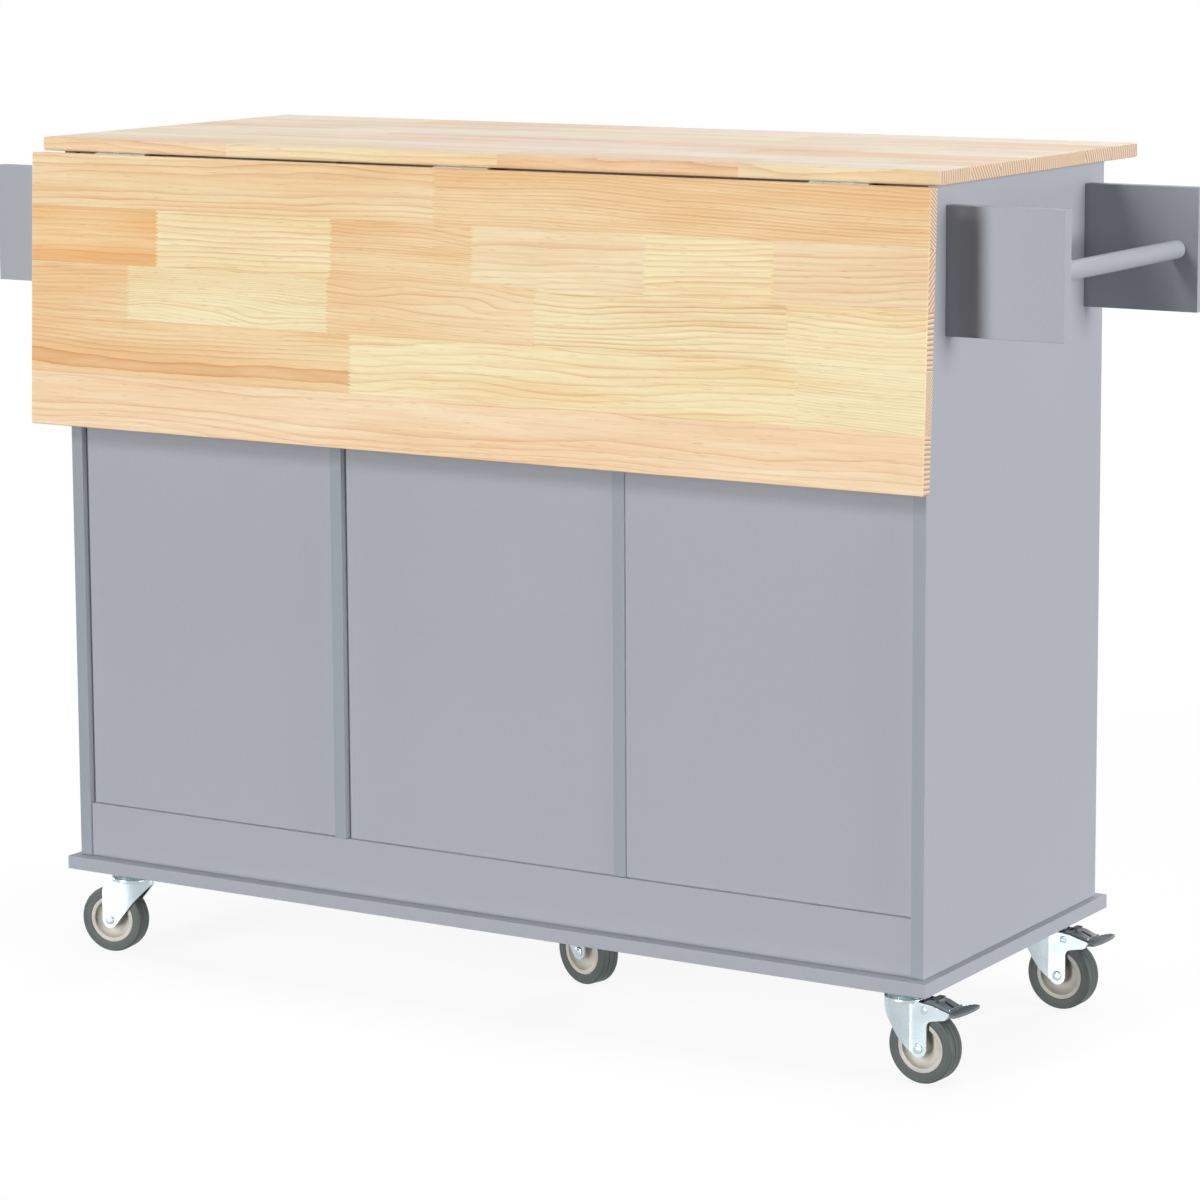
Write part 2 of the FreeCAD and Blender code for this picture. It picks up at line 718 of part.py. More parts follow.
# The tread's cut corners seen from above: places back in shares of its reach, across in shares of its width.
FRONT_CORNER = [(0.85, 0.254), (0.886, 0.254), (1.034, 0.52), (0.85, 0.52)]
BACK_CORNER = [(1.2, 0.52), (1.33, 0.52), (1.33, 0.15), (1.286, 0.15), (1.263, 0.31), (1.223, 0.44)]


def turned_piece(name, points, axis="Y"):
    """A solid turned about its own upright or level axis from an outline."""
    body, origin = start_body(name)
    if axis == "Y":
        sketch = polygon(body, origin["XY_Plane"], points)
    else:
        sketch = polygon(body, origin["XZ_Plane"], points)
    turned(body, sketch, origin[axis + "_Axis"])
    return body


def fork_body(name, braked):
    """A pressed fork: two arms under a crown, with the lower race on top."""
    body, origin = start_body(name)
    side = origin["XZ_Plane"]
    both_ways(body, "Pad", polygon(body, side, BRAKED_FORK_OUTLINE if braked else FORK_OUTLINE), "fork_wide")
    both_ways(body, "Pad", circle(body, side, "trail", "wheel_rad", "fork_foot_rad"), "fork_wide")
    room = polygon(body, side, [
        ("-trail - fork_nose", "0"),
        ("trail + ear_tip + overrun", "0"),
        ("trail + ear_tip + overrun", "crown_low"),
        ("-trail - fork_nose", "crown_low"),
    ])
    both_ways(body, "Pocket", room, "fork_room")
    if braked:
        slot = polygon(body, side, [
            ("trail + pedal_slot_back", "pedal_pin_high"),
            ("trail + ear_tip + overrun", "pedal_pin_high"),
            ("trail + ear_tip + overrun", "crown_top + overrun"),
            ("trail + pedal_slot_back", "crown_top + overrun"),
        ])
        both_ways(body, "Pocket", slot, "fork_room")
    bore = "kingpin_rad + running_fit"
    race = polygon(body, side, [
        (bore, "crown_low"),
        ("race_rad", "crown_low"),
        ("race_rad", "crown_top + race_rise / 2"),
        ("race_neck_rad", "race_top"),
        (bore, "race_top"),
    ])
    turned(body, race, origin["Z_Axis"])
    both_ways(body, "Pocket", circle(body, origin["XY_Plane"], "0", "0", bore), "3 * race_top")
    both_ways(body, "Pocket", circle(body, side, "trail", "wheel_rad", "axle_rad + running_fit"),
              "2 * fork_wide")
    if braked:
        pin = circle(body, side, "trail + pedal_pin_back", "pedal_pin_high", "pedal_pin_rad + running_fit")
        both_ways(body, "Pocket", pin, "2 * fork_wide")
    return body


def bolt(name, radius, head_rad, head_thick, x, z):
    """A headed pin across the fork, riveted at its far end."""
    half = "fork_wide / 2"
    pieces = [
        rod("shank", "Y", radius, "fork_wide + 2 * " + head_thick, x, "-%s - %s" % (half, head_thick), z),
        rod("head", "Y", head_rad, head_thick, x, "-%s - %s" % (half, head_thick), z),
        rod("head", "Y", head_rad, head_thick, x, half, z),
    ]
    return joined(name, pieces)


def make_caster(name, x, y, angle, braked):
    fork = fork_body(name + "_frame", braked)
    pieces = [fork, bolt(name + "_axle", "axle_rad", "axle_head_rad", "axle_head_thick", "trail", "wheel_rad")]
    if braked:
        pieces.append(bolt(name + "_rivet", "pedal_pin_rad", "pedal_pin_head_rad", "pedal_pin_head_thick",
                           "trail + pedal_pin_back", "pedal_pin_high"))
    bundle = group(name + "_set", pieces)
    node("caster_%s_fork" % name, place(bundle, x, y, 0, (0, 0, 1), angle))
    hub_half = "fork_room / 2 - seat_gap"
    rim = turned_piece(name + "_rim", [
        ("axle_rad + running_fit", "-(%s)" % hub_half),
        ("hub_rad", "-(%s)" % hub_half),
        ("hub_rad", "-web_thick / 2"),
        ("rim_rad - rim_lip", "-web_thick / 2"),
        ("rim_rad - rim_lip", "-rim_wide / 2"),
        ("rim_rad", "-rim_wide / 2"),
        ("rim_rad", "rim_wide / 2"),
        ("rim_rad - rim_lip", "rim_wide / 2"),
        ("rim_rad - rim_lip", "web_thick / 2"),
        ("hub_rad", "web_thick / 2"),
        ("hub_rad", hub_half),
        ("axle_rad + running_fit", hub_half),
    ])
    tyre = turned_piece(name + "_tyre", [
        ("rim_rad", "-tyre_wide / 2"),
        ("wheel_rad - tyre_shoulder", "-tyre_wide / 2"),
        ("wheel_rad", "-tyre_flat / 2"),
        ("wheel_rad", "tyre_flat / 2"),
        ("wheel_rad - tyre_shoulder", "tyre_wide / 2"),
        ("rim_rad", "tyre_wide / 2"),
    ])
    for label, wheel in (("caster_%s_rim", rim), ("caster_%s_tyre", tyre)):
        wheel_x = "%s + trail * cos(%s * 1deg)" % (x, angle)
        wheel_y = "%s + trail * sin(%s * 1deg)" % (y, angle)
        node(label % name, place(wheel, wheel_x, wheel_y, "wheel_rad", (0, 0, 1), angle))
    if braked:
        make_pedal(name, x, y, angle)


def make_pedal(name, x, y, angle):
    """The brake lever and its shoe between the fork's ears, with a wide tread that flares out behind them."""
    body, origin = start_body(name + "_lever")
    side = origin["XZ_Plane"]

    def spots(shares):
        return [
            ("trail + pedal_pin_back + %g * pedal_reach" % back, "pedal_pin_high + %g * pedal_reach" % up)
            for back, up in shares
        ]

    lever_wide = "fork_room - 2 * side_gap"
    both_ways(body, "Pad", polygon(body, side, spots(LEVER_SHARES)), lever_wide)
    hub = circle(body, side, "trail + pedal_pin_back", "pedal_pin_high", "pedal_hub_rad")
    both_ways(body, "Pad", hub, lever_wide)
    both_ways(body, "Pad", polygon(body, side, spots(SHOE_SHARES)), "pedal_shoe_wide")
    both_ways(body, "Pad", polygon(body, side, spots(BLOCK_SHARES)), "pedal_block_wide")
    both_ways(body, "Pocket", polygon(body, side, spots(GROOVE_SHARES)), "pedal_groove_wide")
    both_ways(body, "Pad", polygon(body, side, spots(TREAD_SHARES)), "pedal_wide")
    for corner in (FRONT_CORNER, BACK_CORNER):
        for side_sign in ("", "-"):
            seen_above = [
                ("trail + pedal_pin_back + %g * pedal_reach" % back, "%s%g * pedal_wide" % (side_sign, across))
                for back, across in corner
            ]
            both_ways(body, "Pocket", polygon(body, origin["XY_Plane"], seen_above), "2 * crown_top")
    bore = circle(body, side, "trail + pedal_pin_back", "pedal_pin_high", "pedal_pin_rad + running_fit")
    both_ways(body, "Pocket", bore, "2 * fork_wide")
    node("caster_%s_brake_pedal" % name, place(body, x, y, 0, (0, 0, 1), angle))


def make_caster_plates():
    plates = []
    screws = []
    reach = "plate_size / 2"
    for name, x, y, angle, braked in CASTERS:
        solid = joined("plate_solid", [
            box("top_plate", "%s - %s" % (x, reach), "%s + %s" % (x, reach),
                "%s - %s" % (y, reach), "%s + %s" % (y, reach), "plate_low", "base_low"),
            rod("upper_race", "Z", "race_rad", "plate_low - race_top - seat_gap", x, y, "race_top + seat_gap"),
            rod("kingpin", "Z", "kingpin_rad", "plate_low - crown_low + seat_gap",
                x, y, "crown_low - seat_gap"),
            rod("kingpin_head", "Z", "kingpin_head_rad", "kingpin_head_thick",
                x, y, "crown_low - seat_gap - kingpin_head_thick"),
        ])
        plates.append((solid, x, y))
    spots = screw_places()
    drilled = []
    for index, (solid, x, y) in enumerate(plates):
        holes = [
            rod("plate_hole", "Z", "screw_rad + running_fit", "plate_thick + 2 * bore_extra",
                spot_x, spot_y, "plate_low - bore_extra")
            for spot_x, spot_y in spots[4 * index:4 * index + 4]
        ]
        drilled.append(cut("drilled_plate", solid, holes))
    node("caster_plates", group("plates", drilled))
    for spot_x, spot_y in spots:
        screws.append(joined("screw", [
            rod("screw_shank", "Z", "screw_rad", "plate_thick + screw_long", spot_x, spot_y, "plate_low"),
            rod("screw_head", "Z", "screw_head_rad", "screw_head_thick",
                spot_x, spot_y, "plate_low - screw_head_thick"),
        ]))
    node("caster_screws", group("screws", screws))


def main():
    make_cabinet()
    make_racks()
    make_leaf()
    make_hinges()
    make_folding_brackets()
    make_doors()
    make_drawers()
    make_shelves()
    make_caster_plates()
    for caster in CASTERS:
        make_caster(*caster)
    doc.recompute()
    for thing in doc.Objects:
        if "Invalid" in thing.State or "Error" in thing.State:
            raise SystemExit("%s is not sound: %s" % (thing.Name, thing.State))
    for piece in NODES:
        if piece.Shape.isNull() or not piece.Shape.isValid():
            raise SystemExit("%s has no valid shape" % piece.Label)
    os.makedirs("parts", exist_ok=True)
    for piece in NODES:
        piece.Shape.exportStep("parts/%s.step" % piece.Label)
    print(len(NODES), "nodes")


main()
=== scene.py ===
import json
from math import cos, pi, radians, sin, sqrt

import bmesh
import bpy
from mathutils import Matrix, Vector

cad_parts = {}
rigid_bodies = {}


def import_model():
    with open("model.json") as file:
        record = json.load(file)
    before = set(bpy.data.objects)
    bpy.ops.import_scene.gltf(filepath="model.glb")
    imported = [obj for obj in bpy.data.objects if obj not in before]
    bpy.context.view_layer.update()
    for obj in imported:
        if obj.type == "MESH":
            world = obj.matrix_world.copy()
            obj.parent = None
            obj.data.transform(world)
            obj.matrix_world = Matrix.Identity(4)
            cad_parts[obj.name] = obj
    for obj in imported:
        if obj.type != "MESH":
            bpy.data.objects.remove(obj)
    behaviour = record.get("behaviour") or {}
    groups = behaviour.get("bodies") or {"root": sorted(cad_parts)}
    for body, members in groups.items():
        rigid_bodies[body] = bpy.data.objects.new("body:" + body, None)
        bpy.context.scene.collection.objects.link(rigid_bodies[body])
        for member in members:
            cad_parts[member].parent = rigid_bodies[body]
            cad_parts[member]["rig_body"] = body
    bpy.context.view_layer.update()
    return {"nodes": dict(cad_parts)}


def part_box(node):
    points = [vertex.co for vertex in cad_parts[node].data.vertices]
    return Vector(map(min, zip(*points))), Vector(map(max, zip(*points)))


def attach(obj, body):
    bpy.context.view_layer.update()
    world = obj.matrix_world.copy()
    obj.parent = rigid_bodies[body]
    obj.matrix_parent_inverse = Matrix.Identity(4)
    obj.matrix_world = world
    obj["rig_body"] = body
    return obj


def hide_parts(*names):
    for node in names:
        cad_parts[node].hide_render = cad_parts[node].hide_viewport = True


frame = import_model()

# Rolling kitchen island. Lengths are in metres; MM turns the maker's millimetres into them.
MM = 0.001
SAME_PLACE = 1e-6


# Modelling helpers

def mm(points):
    """Points given in millimetres, in metres."""
    return [(first * MM, second * MM) for first, second in points]


def clear_selection():
    if bpy.context.object and bpy.context.object.mode != "OBJECT":
        bpy.ops.object.mode_set(mode="OBJECT")
    bpy.ops.object.select_all(action="DESELECT")


def only(piece):
    """Select one piece alone and make it the active one."""
    clear_selection()
    piece.select_set(True)
    bpy.context.view_layer.objects.active = piece


def settle(piece):
    """Put a piece's place, turn and size into its mesh."""
    only(piece)
    bpy.ops.object.transform_apply(location=True, rotation=True, scale=True)
    return piece


def join(pieces):
    clear_selection()
    for piece in pieces:
        piece.select_set(True)
    bpy.context.view_layer.objects.active = pieces[0]
    if len(pieces) > 1:
        bpy.ops.object.join()
    return bpy.context.object


def apply_modifier(piece, kind, **settings):
    only(piece)
    modifier = piece.modifiers.new(kind.title(), kind)
    for name, value in settings.items():
        setattr(modifier, name, value)
    bpy.ops.object.modifier_apply(modifier=modifier.name)


def pick(piece, wanted, parts="faces"):
    """In edit mode, select only the faces, edges or vertices whose place passes a test."""
    bpy.ops.mesh.select_all(action="DESELECT")
    modes = {"faces": "FACE", "edges": "EDGE", "verts": "VERT"}
    bpy.ops.mesh.select_mode(type=modes[parts])
    mesh = bmesh.from_edit_mesh(piece.data)
    for part in getattr(mesh, parts):
        if parts == "faces":
            part.select_set(wanted(part.calc_center_median(), part.normal))
        elif parts == "edges":
            part.select_set(wanted((part.verts[0].co + part.verts[1].co) / 2, part))
        else:
            part.select_set(wanted(part.co, part))
    mesh.select_flush_mode()
    bmesh.update_edit_mesh(piece.data)


def edit(piece):
    only(piece)
    bpy.ops.object.mode_set(mode="EDIT")
    bpy.ops.mesh.select_all(action="SELECT")


def leave():
    bpy.ops.object.mode_set(mode="OBJECT")


def eased(piece, width, segments=2, angle=30):
    """Round a piece's sharp edges."""
    apply_modifier(piece, "BEVEL", width=width, segments=segments, limit_method="ANGLE",
                   angle_limit=radians(angle), use_clamp_overlap=True, miter_outer="MITER_ARC")
    return piece


def box(low, high):
    """A plain box between two corners."""
    clear_selection()
    low, high = Vector(low), Vector(high)
    bpy.ops.mesh.primitive_cube_add(size=1, location=(low + high) / 2)
    piece = bpy.context.object
    piece.scale = high - low
    return settle(piece)


def block(low, high, ease, segments=2):
    """A board or bar between two corners, with eased edges."""
    piece = box(low, high)
    edit(piece)
    bpy.ops.mesh.bevel(offset=ease, segments=segments, affect="EDGES")
    leave()
    return piece


def mm_block(low, high, ease, segments=2):
    """An eased block between two corners given in millimetres."""
    low, high = (tuple(value * MM for value in corner) for corner in (low, high))
    return block(low, high, ease * MM, segments)


def spun(outline, steps, axis="Z"):
    """A piece turned about Z or Y from (radius, height) points.

    The outline ends on the axis, or else repeats its first point, so the piece is closed.
    """
    clear_selection()
    bpy.ops.mesh.primitive_circle_add(vertices=len(outline), radius=1)
    piece = bpy.context.object
    for vertex, (radius, height) in zip(piece.data.vertices, outline):
        vertex.co = (radius, 0, height)
    edit(piece)
    ends = {0, len(outline) - 1}
    pick(piece, lambda place, edge: {vertex.index for vertex in edge.verts} == ends, "edges")
    bpy.ops.mesh.delete(type="EDGE")
    bpy.ops.mesh.select_all(action="SELECT")
    bpy.ops.mesh.spin(steps=steps, angle=2 * pi, center=(0, 0, 0), axis=(0, 0, 1))
    bpy.ops.mesh.select_all(action="SELECT")
    bpy.ops.mesh.remove_doubles(threshold=SAME_PLACE)
    bpy.ops.mesh.normals_make_consistent(inside=False)
    leave()
    if axis == "Y":
        piece.rotation_euler = (radians(-90), 0, 0)
    return settle(piece)


def rod(radius, half, steps):
    """A plain round rod along Y."""
    return spun([(0, -half), (radius, -half), (radius, half), (0, half)], steps, "Y")


def moved(piece, place, turn=0):
    """Turn a piece about the upright axis through the origin, then move it."""
    piece.data.transform(Matrix.Translation(place) @ Matrix.Rotation(turn, 4, "Z"))
    return piece


def sheet_from(outline, across=0.0):
    """A flat many-sided face in the XZ plane, at y = across."""
    clear_selection()
    bpy.ops.mesh.primitive_circle_add(vertices=len(outline), radius=1, fill_type="NGON")
    piece = bpy.context.object
    for vertex, (x, z) in zip(piece.data.vertices, outline):
        vertex.co = (x, across, z)
    return piece


def round_corners(piece, spots, radius, **settings):
    """In edit mode, round the corners that lie at the given places."""
    pick(piece, lambda place, vertex: any((place - spot).length < SAME_PLACE for spot in spots),
         "verts")
    bpy.ops.mesh.bevel(offset=radius, segments=5, affect="VERTICES", **settings)


def plate_from(outline, thick, corners=()):
    """An upright plate in the XZ plane, centred on y = 0, with some of its corners rounded."""
    piece = sheet_from(outline, -thick / 2)
    edit(piece)
    for chosen, radius in corners:
        spots = [Vector((outline[index][0], -thick / 2, outline[index][1])) for index in chosen]
        round_corners(piece, spots, radius)
    bpy.ops.mesh.select_mode(type="FACE")
    bpy.ops.mesh.select_all(action="SELECT")
    bpy.ops.mesh.extrude_region_move(TRANSFORM_OT_translate={"value": (0, thick, 0)})
    bpy.ops.mesh.select_all(action="SELECT")
    bpy.ops.mesh.normals_make_consistent(inside=False)
    leave()
    return piece


def copied(piece):
    twin = piece.copy()
    twin.data = piece.data.copy()
    bpy.context.scene.collection.objects.link(twin)
    return twin


def merged_copy(node):
    """A copy of a CAD node's mesh with its doubled vertices merged."""
    twin = copied(frame["nodes"][node])
    for key in list(twin.keys()):
        del twin[key]
    twin.parent = None
    twin.data.materials.clear()
    edit(twin)
    bpy.ops.mesh.remove_doubles(threshold=SAME_PLACE)
    bpy.ops.mesh.dissolve_limited(angle_limit=radians(0.5))
    leave()
    return twin


def span(piece):
    places = [vertex.co for vertex in piece.data.vertices]
    low = Vector([min(place[axis] for place in places) for axis in range(3)])
    high = Vector([max(place[axis] for place in places) for axis in range(3)])
    return low, high


def solids(node):
    """The lowest and highest corner of each separate solid of a CAD node."""
    whole = merged_copy(node)
    edit(whole)
    bpy.ops.mesh.separate(type="LOOSE")
    leave()
    parts = list(bpy.context.selected_objects)
    spans = [span(part) for part in parts]
    for part in parts:
        bpy.data.objects.remove(part)
    return sorted(spans, key=lambda pair: tuple(round(value, 5) for value in pair[0]))


def finished(pieces, name, node, finish, smooth=35, more_nodes=(), body=None):
    """Join pieces, give them their finish, and let them stand for CAD nodes or ride on a body."""
    piece = join(pieces if isinstance(pieces, list) else [pieces])
    piece.name = name
    piece.data.name = name
    piece.data.materials.clear()
    piece.data.materials.append(finish)
    for face in piece.data.polygons:
        face.material_index = 0
    only(piece)
    bpy.ops.object.shade_smooth_by_angle(angle=radians(smooth))
    apply_modifier(piece, "WEIGHTED_NORMAL", keep_sharp=True)
    if node:
        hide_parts(node, *more_nodes)
        body = frame["nodes"][node]["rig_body"]
    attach(piece, body)


# Finishes

def shade(red, green, blue):
    """A colour as it looks on a screen, 0 to 255, in the light's own scale."""
    def straight(part):
        part /= 255
        return part / 12.92 if part <= 0.04045 else ((part + 0.055) / 1.055) ** 2.4
    return straight(red), straight(green), straight(blue), 1


def toned(colour, share):
    """A colour made darker, or lighter with a share above 1."""
    return tuple(part * share for part in colour[:3]) + (1,)


class Finish:
    """A material, with short ways to add nodes to it and join them."""

    def __init__(self, name, **shader):
        self.material = bpy.data.materials.new(name)
        self.material.use_nodes = True
        self.tree = self.material.node_tree
        self.shader = self.tree.nodes["Principled BSDF"]
        for socket, value in shader.items():
            self.shader.inputs[socket.replace("_", " ")].default_value = value
        self.coordinates = self.add("ShaderNodeTexCoord")

    def add(self, kind, inputs=(), **settings):
        node = self.tree.nodes.new(kind)
        for name, value in settings.items():
            setattr(node, name, value)
        for socket, value in dict(inputs).items():
            self.put(node.inputs[socket], value)
        return node

    def put(self, socket, value):
        if isinstance(value, bpy.types.NodeSocket):
            self.tree.links.new(value, socket)
        elif value is not None:
            socket.default_value = value

    def math(self, operation, first, second=None, third=None):
        node = self.add("ShaderNodeMath", operation=operation)
        for socket, value in zip(node.inputs, (first, second, third)):
            self.put(socket, value)
        return node.outputs[0]

    def mapped(self, scale=(1, 1, 1), location=(0, 0, 0), rotation=(0, 0, 0), vector=None,
               kind="POINT"):
        inputs = {"Vector": vector or self.coordinates.outputs["Object"],
                  "Scale": scale, "Location": location, "Rotation": rotation}
        return self.add("ShaderNodeMapping", inputs, vector_type=kind).outputs["Vector"]

    def parted(self, vector):
        """The x, y and z of a vector."""
        return self.add("ShaderNodeSeparateXYZ", {"Vector": vector}).outputs

    def noise(self, vector, scale, detail=2, roughness=0.5, distortion=0):
        inputs = {"Vector": vector, "Scale": scale, "Detail": detail, "Roughness": roughness,
                  "Distortion": distortion}
        return self.add("ShaderNodeTexNoise", inputs).outputs["Fac"]

    def steps(self, value, stops):
        """A colour that changes at once at each stop."""
        node = self.add("ShaderNodeValToRGB", {"Fac": value})
        node.color_ramp.interpolation = "CONSTANT"
        while len(node.color_ramp.elements) < len(stops):
            node.color_ramp.elements.new(1)
        for element, (position, colour) in zip(node.color_ramp.elements, stops):
            element.position = position
            element.color = colour
        return node

    def mix(self, share, first, second, blend="MIX"):
        node = self.add("ShaderNodeMix", data_type="RGBA", blend_type=blend)
        self.put(node.inputs["Factor"], share)
        self.put(node.inputs[6], first)
        self.put(node.inputs[7], second)
        return node.outputs[2]

    def tinted(self, share, base, tint):
        """A share of the base colour multiplied by a tint."""
        return self.mix(share, base, self.mix(1.0, base, tint, "MULTIPLY"))

    def varied(self, value, colour, low, high, start=0.35, end=0.65):
        """A colour that goes from one tone to another as a noise goes from start to end."""
        return self.mix(self.between(value, start, end, 0, 1), toned(colour, low),
                        toned(colour, high))

    def between(self, value, low, high, new_low, new_high):
        inputs = {"Value": value, "From Min": low, "From Max": high,
                  "To Min": new_low, "To Max": new_high}
        return self.add("ShaderNodeMapRange", inputs).outputs["Result"]

    def bump(self, height, distance, strength):
        inputs = {"Height": height, "Distance": distance, "Strength": strength}
        self.put(self.shader.inputs["Normal"], self.add("ShaderNodeBump", inputs).outputs["Normal"])

    def colour(self, value):
        self.put(self.shader.inputs["Base Color"], value)

    def roughness(self, value):
        self.put(self.shader.inputs["Roughness"], value)


def painted(name, colour, banding=None):
    """Satin paint on board, faintly cloudy and pebbled. Banding tints a board's narrow edges."""
    finish = Finish(name, Specular_IOR_Level=0.2)
    cloud = finish.noise(finish.mapped(), 7, 3)
    fine = finish.noise(finish.mapped(), 420, 2)
    base = finish.varied(cloud, colour, 0.98, 1.02, 0.3, 0.7)
    skin = finish.mix(0.35, base, finish.varied(fine, colour, 0.96, 1.04))
    if banding:
        facing = finish.parted(finish.coordinates.outputs["Normal"])[1]
        edge = finish.between(finish.math("ABSOLUTE", facing), 0.9, 0.97, 0, 1)
        skin = finish.tinted(edge, skin, banding)
    finish.colour(skin)
    finish.roughness(finish.between(cloud, 0.3, 0.7, 0.46, 0.55))
    finish.bump(fine, 0.06 * MM, 0.5)
    return finish.material


def plated(name, colour, rough, streak):
    """Bright zinc or nickel: faint crystals and streaks in its colour and gloss."""
    finish = Finish(name, Metallic=1.0)
    cloud = finish.noise(finish.mapped(streak), 3, 3)
    fine = finish.noise(finish.mapped(), 900, 2)
    finish.colour(finish.varied(cloud, colour, 0.96, 1.03))
    finish.roughness(finish.between(cloud, 0.3, 0.7, rough - 0.03, rough + 0.05))
    finish.bump(fine, 0.02 * MM, 0.35)
    return finish.material


def moulded(name, colour, rough):
    """Moulded rubber or plastic: a fine grain and faint flow clouds."""
    finish = Finish(name, Specular_IOR_Level=0.45)
    cloud = finish.noise(finish.mapped(), 60, 3)
    fine = finish.noise(finish.mapped(), 600, 2)
    finish.colour(finish.varied(cloud, colour, 0.92, 1.08))
    finish.roughness(finish.between(fine, 0.35, 0.65, rough - 0.06, rough + 0.06))
    finish.bump(fine, 0.05 * MM, 0.5)
    return finish.material


def plain_pine(name, colour):
    """Pale straight-grained wood of the drawer boxes."""
    finish = Finish(name, Specular_IOR_Level=0.35)
    grain = finish.noise(finish.mapped((3, 3, 90)), 3, 3, 0.6, 0.4)
    fine = finish.noise(finish.mapped((20, 20, 700)), 1, 2)
    base = finish.mix(finish.between(grain, 0.4, 0.62, 0, 1), colour, toned(colour, 0.8))
    base = finish.mix(finish.between(fine, 0.4, 0.7, 0, 0.4), base, toned(colour, 0.86))
    finish.colour(base)
    finish.roughness(finish.between(fine, 0.3, 0.7, 0.5, 0.62))
    finish.bump(fine, 0.05 * MM, 0.5)
    return finish.material


# Finger-jointed pine. Each tone has, after its colour, how strongly its rings show.
PALE = (*shade(251, 237, 194)[:3], 0.85)
CREAM = (*shade(250, 233, 190)[:3], 1.0)
STRAW = (*shade(252, 235, 190)[:3], 0.75)
GOLDEN = (*shade(246, 211, 162)[:3], 0.9)
TAN = (*shade(248, 219, 174)[:3], 0.75)
ORANGE = (*shade(245, 195, 132)[:3], 0.6)
ROSY = (*shade(248, 225, 186)[:3], 0.65)
PEACH = (*shade(253, 227, 192)[:3], 0.7)

# What the wood is multiplied by, or mixed with, from its broad marks to its finest, then the
# painted shade of its long edges and the colours of its end grain
LATE_WOOD = shade(224, 176, 134)
PALE_HAZE = shade(252, 236, 192)
ROSY_HAZE = shade(248, 228, 206)
STREAK = shade(240, 219, 192)
FIBRE = shade(238, 216, 188)
FLECK = shade(196, 150, 104)
SEAM = shade(205, 160, 108)
# This one is painted shade: the long edges are toned darker and cooler than the broad faces, for
# how the light falls on them.
PAINTED_EDGE_SHADE = shade(242, 245, 254)
END_EARLY = shade(242, 216, 188)
END_LATE = shade(132, 84, 50)

# The zigzag where two blocks meet end to end, and half the width of a glue seam
TOOTH_START = 1.1 * MM
TOOTH_PITCH = 2.1 * MM
TOOTH_SLOPE = 2.4
TOOTH_REACH = 2.5 * MM
SEAM_HALF = 0.22 * MM

# The trunk's rings: how wide a stave they are drawn for, their spacing and their waviness
RING_FIELD = 62 * MM
RING_SPACING = (2.4 * MM, 4.2 * MM)
RING_DEPTH = (12 * MM, 50 * MM)
RING_SWAY = 30 * MM
RING_JITTER = 1.2 * MM

# Each stave: its width in mm, then the places along x where its blocks start, in mm, with tones
LEAF_STAVES = [
    (58, [(-560, TAN), (-25, GOLDEN)]),
    (62, [(-560, ORANGE), (-389, STRAW), (-156, GOLDEN), (23, ROSY), (234, STRAW), (385, ROSY)]),
    (60, [(-560, TAN), (-425, PALE), (-160, TAN), (101, CREAM), (400, STRAW)]),
    (63, [(-560, GOLDEN), (-128, STRAW), (412, PALE)]),
    (60, [(-560, PEACH), (-196, PEACH)]),
]
TOP_STAVES = [
    (66, [(-560, TAN), (-310, STRAW), (40, TAN), (330, PALE)]),
    (67, [(-560, STRAW), (-180, PEACH), (120, STRAW), (470, TAN)]),
    (66, [(-560, PALE), (-400, TAN), (-60, ROSY), (250, GOLDEN)]),
    (66, [(-560, STRAW), (-250, ROSY), (60, TAN), (360, STRAW)]),
    (67, [(-560, TAN), (-350, PALE), (10, STRAW), (420, ROSY)]),
    (66, [(-560, ROSY), (-120, STRAW), (200, TAN)]),
    (66, [(-560, STRAW), (-330, TAN), (-40, PEACH), (290, PALE)]),
]


def block_layout(finish, staves, along, across, length):
    """The blocks' colour and ring strength, the glue seams, and the number of the stave."""
    tooth = finish.math("PINGPONG", finish.math("ADD", across, TOOTH_START), TOOTH_PITCH)
    wiggle = finish.math("MULTIPLY_ADD", tooth, TOOTH_SLOPE, -TOOTH_REACH)
    share = finish.between(finish.math("ADD", along, wiggle), -length / 2, length / 2, 0, 1)
    colour = strength = seams = None
    edge = 0
    for width, blocks in staves:
        stops = [((start * MM + length / 2) / length, tone) for start, tone in blocks]
        row = finish.steps(share, stops).outputs
        if colour is None:
            colour, strength = row["Color"], row["Alpha"]
        else:
            past = finish.math("GREATER_THAN", across, edge)
            colour = finish.mix(past, colour, row["Color"])
            strengths = {0: past, 2: strength, 3: row["Alpha"]}
            strength = finish.add("ShaderNodeMix", strengths).outputs[0]
            seam = finish.math("COMPARE", across, edge, SEAM_HALF)
            seams = seam if seams is None else finish.math("MAXIMUM", seams, seam)
        edge += width * MM
    stave = finish.math("FLOOR", finish.math("DIVIDE", across, edge / len(staves)))
    return colour, strength, seams, stave


def block_chances(finish, colour, strength, stave, seed):
    """Three numbers from 0 to 1 that stay the same all over one block."""
    spread = finish.add("ShaderNodeVectorMath", {0: colour, 1: (37.1 + seed, 91.7, 53.3)},
                        operation="MULTIPLY").outputs[0]
    shift = finish.add("ShaderNodeCombineXYZ", {"X": stave, "Y": strength, "Z": seed}).outputs[0]
    key = finish.add("ShaderNodeVectorMath", {0: spread, 1: shift}, operation="ADD").outputs[0]
    chance = finish.add("ShaderNodeTexWhiteNoise", {"Vector": key}, noise_dimensions="3D")
    return finish.add("ShaderNodeSeparateColor", {"Color": chance.outputs["Color"]}).outputs


